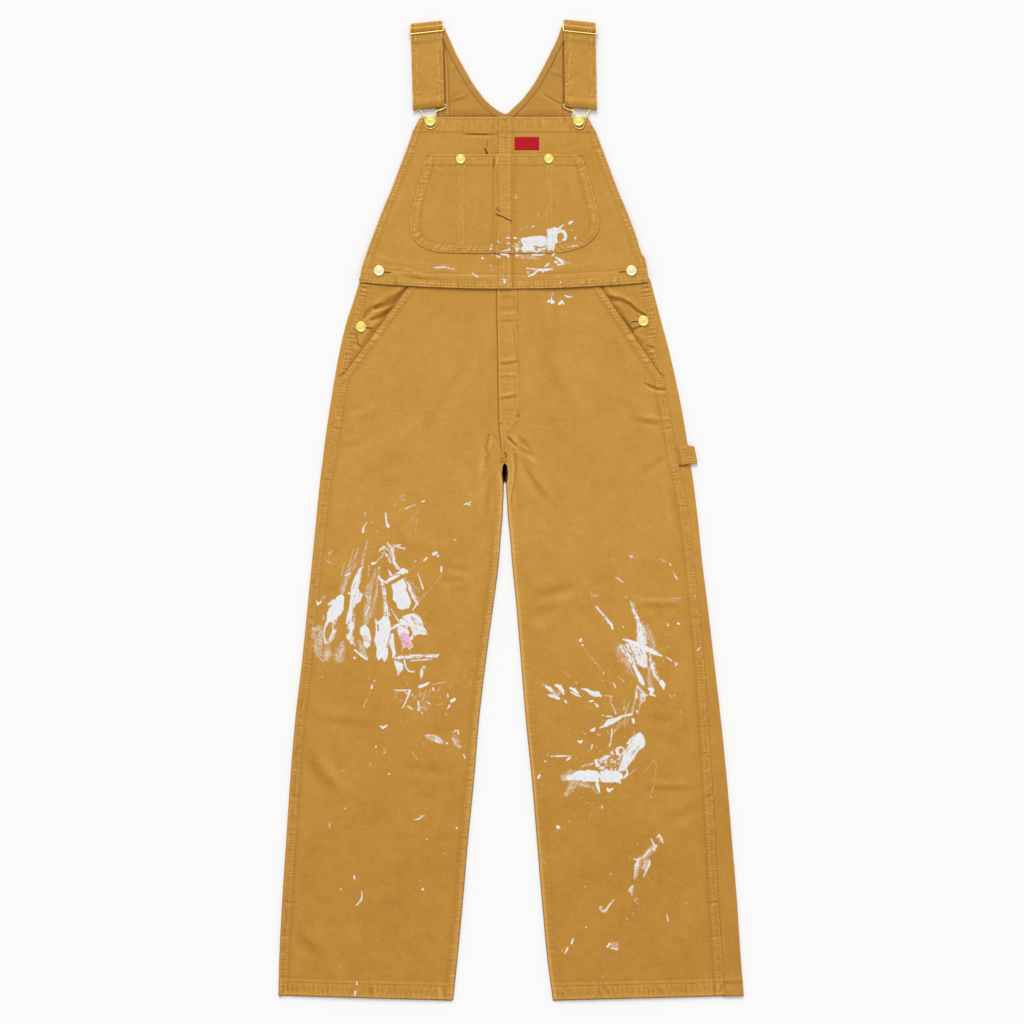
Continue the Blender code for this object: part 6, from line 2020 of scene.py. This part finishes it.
def paint_material():
    """Dried white house paint, with the weave showing where it is thin."""
    material, tree, shader = new_material("white_paint", Roughness=0.55, Specular_IOR_Level=0.35)
    vector = place_in(tree)
    cloudy = blotch(tree, vector, 7.0, 3.0)
    fine = blotch(tree, vector, 1.7, 2.0)
    white = mixed(tree, spread(tree, cloudy, 0.0, 1.0), (0.80, 0.81, 0.82), (0.88, 0.88, 0.88))
    tinted = mixed(tree, stored(tree, "pink"), white, (0.84, 0.47, 0.66))
    shown = added(tree, stored(tree, "cover"), spread(tree, fine, -0.12, 0.12, 0.32, 0.68))
    shown = times(tree, spread(tree, shown, 0.0, 1.0, 0.12, 0.92), 1.45, "POWER")
    surface(tree, shader, mixed(tree, shown, DUCK_COLOUR, tinted), fine, 0.3, 0.0005)
    return material


def paint(ground):
    """All the paint as one thin film on the cloth, left off where it is steep."""
    places, faces, covers = film(paint_cover())
    heights = np.array([drop(ground, x, y) for x, y in places]) + 0.06 + 0.14 * covers
    kept = [face for face in faces if np.ptp(heights[face]) < 0.9 and heights[face].min() > 1.0]
    used = np.unique(np.concatenate(kept))
    renumber = np.full(len(places), -1)
    renumber[used] = np.arange(len(used))
    points = np.column_stack((places, heights))[used]
    faces = [renumber[face].tolist() for face in kept]
    obj = new_object("paint", points, faces, paint_material())
    attribute(obj, "cover", covers[used])
    attribute(obj, "pink", ramp(capsule(points[:, 0], points[:, 1], *PINK), -1.5, 1.5))
    return settle(obj)


def ground_of_cloth():
    """Everything that paint and thread can lie on, for rays from above."""
    points, faces, first = [], [], 0
    for part, quads in clothes:
        points.append(part)
        faces.append(quads + first)
        first += len(part)
    return BVHTree.FromPolygons(np.concatenate(points).tolist(), np.concatenate(faces).tolist())


def drop(ground, x, y):
    """Height of the highest cloth at a point."""
    hit = ground.ray_cast(Vector((x, y, 60.0)), Vector((0, 0, -1)))[0]
    return hit.z if hit else 0.0


# --- Stitching and small sewn details -------------------------------------

STITCH, PITCH = 2.5, 3.3


def along_line(points, pitch):
    """Places and headings every pitch along a line."""
    points = np.asarray(points, float)
    run = np.concatenate(([0], np.cumsum(np.hypot(*np.diff(points, axis=0).T))))
    at = np.arange(pitch / 2, run[-1], pitch)
    x, y = np.interp(at, run, points[:, 0]), np.interp(at, run, points[:, 1])
    ahead_x = np.interp(at + 0.6, run, points[:, 0]) - np.interp(at - 0.6, run, points[:, 0])
    ahead_y = np.interp(at + 0.6, run, points[:, 1]) - np.interp(at - 0.6, run, points[:, 1])
    return x, y, np.arctan2(ahead_y, ahead_x)


def offset(points, distance):
    """A line moved sideways, to the left of its own run."""
    points = np.asarray(points, float)
    run = np.gradient(points, axis=0)
    run /= np.maximum(np.linalg.norm(run, axis=1, keepdims=True), 1e-9)
    return points + np.stack((-run[:, 1], run[:, 0]), -1) * distance


def leg_line(side, from_edge, top, foot, edge="outer"):
    """A row down a leg, along its outer or its inner edge."""
    y = np.linspace(top, foot, 220)
    if edge == "outer":
        x = front_outer(side, y) - OUT[side] * from_edge
    else:
        x = leg(side, "inner", y) + OUT[side] * from_edge
    return np.column_stack((x, y - hem_drop(side, x, y)))


def bib_line(from_foot, start, end):
    """A row along the lower edge of the bib."""
    x, hung = np.linspace(start, end, 120), BIB_FOOT + from_foot
    return np.column_stack((x, hung - bib_sag(x, hung)))


def bib_side(side, from_edge, top, foot):
    """A row down a side of the bib."""
    hung = np.linspace(top, foot, 90)
    x = curve(BIB, hung, {"left": 1, "right": 2}[side]) - OUT[side] * from_edge
    return np.column_stack((x, hung - bib_sag(x, hung)))


def pocket_outline():
    """Round the pocket from its upper left corner to its upper right one."""
    y = np.concatenate((np.linspace(POCKET_TOP, 431, 30), round_foot(np.linspace(1, 0, 30))))
    left = np.column_stack((curve(POCKET_LEFT, y), y))
    right = np.column_stack((curve(POCKET_RIGHT, y), y))[::-1]
    return resample(np.concatenate((left, right)), 3.0)


def under_strap(side, x, y):
    """Whether places of the yoke's outer edge lie beneath the strap."""
    beside = [strap_point(side, across, 60, 0)[0] for across in (-STRAP_WIDTH / 2, STRAP_WIDTH / 2)]
    foot = strap_point(side, 0, BUCKLE_DOWN + 6, 0)[1]
    return (x > min(beside) - 3.5) & (x < max(beside) + 3.5) & (y > foot)


def upright(x, top, foot):
    """A straight row down the page."""
    return np.array(((x, top), (x, foot)))


def level(y, left, right):
    """A straight row across the page."""
    return np.array(((left, y), (right, y)))


def hem_line(side):
    """The hem's row, which wanders a little."""
    ends = [leg(side, name, HEM + HEM_ROW) for name in ("outer", "inner")]
    x = np.linspace(*ends, 160)
    y = HEM + 20.6 + 0.6 * noise(x, x * 0, 7, 503)
    return np.column_stack((x, y - hem_drop(side, x, HEM + x * 0 + HEM_ROW)))


def side_seams(side):
    """The rows of a leg, the bib's side, an armhole, a strap and its strip."""
    out = OUT[side]
    lines = [leg_line(side, row * SEAM_WIDTH[side], 192, HEM + 1) for row in (0.14, 0.60, 0.90)]
    lines += [leg_line(side, row, 334, 199) for row in (2.4, 9.6)]
    lines.append(hem_line(side))
    lines += [bib_side(side, row, 576, 366) for row in (2.4, 9.4)]
    y = np.linspace(330, 215, 60)
    lines += [np.column_stack((leg(side, "seam", y) - out * row, y)) for row in (2.3, 9.1)]
    y = np.linspace(720, 594, 60)
    for row in (2.0, 8.5):
        x = curve(YOKES[side], y) - out * row
        lines.append(np.column_stack((x, y))[~under_strap(side, x, y)])
    down = np.linspace(13, 124, 60)
    for row in (5.0, 11.0, 36.0, 42.0):
        lines.append(np.column_stack(strap_point(side, row - STRAP_WIDTH / 2, down, 0)[:2]))
    low, high = STRIPS[side]
    return lines + [upright(x, 514, 393) for x in (low + 2.0, high - 2.0)]


def front_seams():
    """The rows of the inseam and of the fly."""
    lines = [leg_line("left", row, -30, HEM + 1, "inner") for row in (3.2, 8.9)]
    for row, foot in ((0.0, 146), (-3.6, 150)):
        y = np.linspace(336, foot, 120)
        lines.append(np.column_stack((leg("right", "inner", y) + fly_reach(y) + row, y)))
    lines.append(np.array(((10.9, 141), (9.4, 133.4), (5.5, 126), (0.1, 120.4), (-8.5, 113.3))))
    return lines + [np.array(((x, 110), (x + 0.6, 86))) for x in (-9.0, -5.2)]


def bib_seams():
    """The rows of the bib's top, its foot and its centre seam."""
    lines = [level(BIB_TOP - row, -138, 116) for row in (2.3, 21.4)]
    lines += [bib_line(row, -221, 202) for row in (3.0, 8.6)]
    lines.append(bib_line(21.2, -210, 191))
    for x in (LAP_LEFT + 2.2, LAP_RIGHT - 1.5):
        lines += [upright(x, 588, 536), upright(x, 383, 334)]
    return lines


def pocket_seams():
    """The rows round the pocket, along its top and down its centre strip."""
    outline, (low, high) = pocket_outline(), STRIPS["centre"]
    lines = [offset(outline, row) for row in (2.1, 11.4)]
    lines += [level(POCKET_TOP - row, -124, 104) for row in (2.0, 15.3)]
    return lines + [upright(x, 529, 392) for x in (low + 2.0, high - 2.0)]


def seam_lines():
    """Every row of stitches as a line of (x, y)."""
    neck = np.column_stack(neck_line())
    loop_rows = (2.4, 6.2, 10.2, 16.3, 20.3, 24.1)
    return (side_seams("left") + side_seams("right") + front_seams() + bib_seams() + pocket_seams()
            + [offset(neck, -row) for row in (1.6, 7.0)]
            + [np.array(((243, 95.9 - row), (275, 94 - row))) for row in loop_rows])


class Threads:
    """Short threads or slits that lie on the cloth and become one mesh."""

    def __init__(self, ground):
        self.ground, self.points, self.faces = ground, [], []

    def bar(self, x, y, heading, length, width, low, high):
        """A pointed lozenge with a raised back, from height low to high."""
        along = np.array((math.cos(heading), math.sin(heading), 0.0))
        side = np.array((-along[1], along[0], 0.0))
        start = np.array((x, y, low)) - along * length / 2
        end = np.array((x, y, high)) + along * length / 2
        at = [len(self.points) + step for step in range(10)]
        self.points.append(start)
        for share in (0.2, 0.8):
            middle = start + (end - start) * share
            for aside, rise in ((-0.425, 0), (-0.22, 0.525), (0.22, 0.525), (0.425, 0)):
                self.points.append(middle + side * width * aside + (0, 0, rise * width))
        self.points.append(end)
        for step in range(3):
            self.faces.append((at[0], at[1 + step], at[2 + step]))
            self.faces.append((at[1 + step], at[5 + step], at[6 + step], at[2 + step]))
            self.faces.append((at[9], at[6 + step], at[5 + step]))

    def lay(self, x, y, heading, length, width):
        """A bar level on the cloth."""
        z = drop(self.ground, x, y)
        self.bar(x, y, heading, length, width, z, z)

    def row(self, x, y, run, count, turned, length, width):
        """Bars spaced along a line of (heading, length), each turned from it."""
        heading = math.radians(run[0])
        for step in range(count):
            share = (step + 0.5) / count - 0.5
            place = step_from(x, y, heading, share * run[1])
            self.lay(*place, heading + turned, length, width)

    def joined(self, name, material):
        """The one mesh of all the bars."""
        return settle(new_object(name, self.points, self.faces, material))


def stitches(ground):
    """Rows of thread, with painted shade for the needle hole between one stitch and the next."""
    threads, holes, hole_faces = Threads(ground), [], []
    for number, line in enumerate(seam_lines()):
        x, y, headings = along_line(line, PITCH)
        sizes = 1 + 0.12 * noise(x + y, x * 0 + number, 9, 501)
        for px, py, heading, size in zip(x, y, headings, sizes):
            low = drop(ground, *step_from(px, py, heading, -STITCH / 2))
            high = drop(ground, *step_from(px, py, heading, STITCH / 2))
            if min(low, high) < 0.9 or abs(low - high) > 0.9:
                continue
            threads.bar(px, py, heading, STITCH * size, 0.85 * size, low - 0.05, high - 0.05)
            middle = step_from(px, py, heading, PITCH / 2)
            z, first = drop(ground, *middle) + 0.07, len(holes)
            if abs(z - high) > 0.6:
                continue
            for along, aside in ((-0.40, -0.52), (0.40, -0.52), (0.40, 0.52), (-0.40, 0.52)):
                edge = step_from(*middle, heading, along)
                holes.append((*step_from(*edge, heading + math.pi / 2, aside), z))
            hole_faces.append((first, first + 1, first + 2, first + 3))
    settle(new_object("needle_hole_shade_marks", holes, hole_faces, NEEDLE_SHADE))
    threads.joined("stitches", THREAD)


BUTTONHOLES = (
    # x, y, heading, length and width of the slit, width of its thread
    (-186, 356.4, -2, 16, 1.6, 0.9), (168, 357.0, 2, 16, 1.6, 0.9),
    (-214, 273.0, -2, 17, 1.6, 0.9), (187, 282.6, 2, 16, 1.6, 0.9),
    (-36.2, 550, 88, 13, 1.0, 1.5),
)
SLITS = (
    # x, y, heading, length, width of openings filled with painted shade
    (-47, 563.8, -0.5, 50, 0.5), (-37.6, 538.6, -65, 7.5, 2.6), (-11.5, 438.6, -25, 24, 1.7),
    (-18.2, 448.6, -27, 7, 1.1),
)
TACKS = (
    # x, y, heading, length, width of a dense bar of thread
    (-20.5, 452.0, 65, 6, 1.2),
    (-0.5, 432.0, 65, 6, 1.2), (9.5, 141, 0, 7, 1.3), (-4.2, 129.2, 0, 5, 1.2),
    (-14.8, 130, 0, 3, 1.2), (-124, 531.5, 20, 6, 1.4), (104, 531.5, -20, 6, 1.4),
    (-151, 333, 45, 7, 1.3), (131, 334, -45, 7, 1.3), (-256, 203, 30, 8, 1.3),
    (228, 203, -30, 8, 1.3), (-216, 343, 85, 7, 1.2), (197, 343, 95, 7, 1.2),
)


def sewn_details(ground):
    """Painted shade in openings and buttonhole slits, the buttonholes' threads and bar tacks."""
    dark, thread, tacks = Threads(ground), Threads(ground), Threads(ground)
    for x, y, degrees, length, width, rim in BUTTONHOLES:
        heading, across = math.radians(degrees), math.radians(degrees) + math.pi / 2
        dark.lay(x, y, heading, length, width)
        for aside in (-1.6, 1.6):
            thread.lay(*step_from(x, y, across, aside), heading, length + 1, rim)
        for end in (-0.5, 0.5):
            thread.lay(*step_from(x, y, heading, end * length), across, 3.4, 1.0)
    for x, y, degrees, length, width in SLITS:
        count = max(2, int(length / 4))
        dark.row(x, y, (degrees, length), count, 0.0, length / count * 1.7, width)
    for x, y, degrees, length, width in TACKS:
        count = max(3, int(length / 1.3))
        tacks.row(x, y, (degrees, length), count, math.pi / 2, width * 1.6, 0.9)
    dark.joined("slit_shade_marks", SLIT_SHADE)
    tacks.joined("bar_tacks", SHADED_THREAD)
    thread.joined("buttonhole_threads", THREAD)


# --- Set the stage --------------------------------------------------------

def floor():
    """The white paper under the garment, a hair below it."""
    size, low = 6000.0, -0.2
    corners = [(-size, -size, low), (size, -size, low), (size, size, low), (-size, size, low)]
    material, _, shader = new_material("paper", Roughness=1.0, Specular_IOR_Level=0.0)
    shader.inputs["Base Color"].default_value = (0.97, 0.97, 0.97, 1.0)
    new_object("floor", corners, [(0, 1, 2, 3)], material, low)


def soft_sun(name, toward, spread_deg, energy):
    """A wide, even light that shines from a direction."""
    data = bpy.data.lights.new(name, "SUN")
    data.angle, data.energy = math.radians(spread_deg), energy
    obj = linked(name, data)
    obj.location = toward
    obj.rotation_euler = (-Vector(toward)).to_track_quat("-Z", "Y").to_euler()


def studio():
    """White surroundings, with one soft light from beyond the straps."""
    world = bpy.data.worlds.new("studio")
    bpy.context.scene.world = world
    world.use_nodes = True
    background = world.node_tree.nodes["Background"]
    background.inputs["Color"].default_value = (1.0, 1.0, 1.0, 1.0)
    background.inputs["Strength"].default_value = 0.60
    soft_sun("key", (-0.25, 1.9, 1.9), 34.0, 1.75)
    bpy.context.scene.view_settings.view_transform = "Standard"


def camera():
    """The camera straight above, as far up as shows the picture's whole width."""
    data = bpy.data.cameras.new("camera")
    data.lens, data.sensor_width, data.clip_end = LENS, SENSOR, 20.0
    obj = linked("camera", data)
    obj.location = (0.0015, -0.003, PICTURE_WIDTH * LENS / SENSOR + 0.005)
    bpy.context.scene.camera = obj


def main():
    """Build the stage, then the garment from the ground up."""
    floor()
    studio()
    camera()
    for side in SIDES:
        leg_back(side)
        facing(side)
        leg_front(side)
    yoke()
    neck_hem()
    for side in SIDES:
        bib_half(side)
    bib_pocket()
    for side in STRIPS:
        pocket_strip(side)
    for side in SIDES:
        strap(side)
        slider(side)
        buckle(side)
        button("bib_button_" + side, *BIB_BUTTONS[side], *BIB_BUTTON_SIZES)
    hammer_loop()
    label()
    ground = ground_of_cloth()
    for name, x, y, diameter, lift in BUTTONS:
        button(name, x, y, drop(ground, x, y), diameter, lift)
    stitches(ground)
    sewn_details(ground)
    paint(ground)


main()
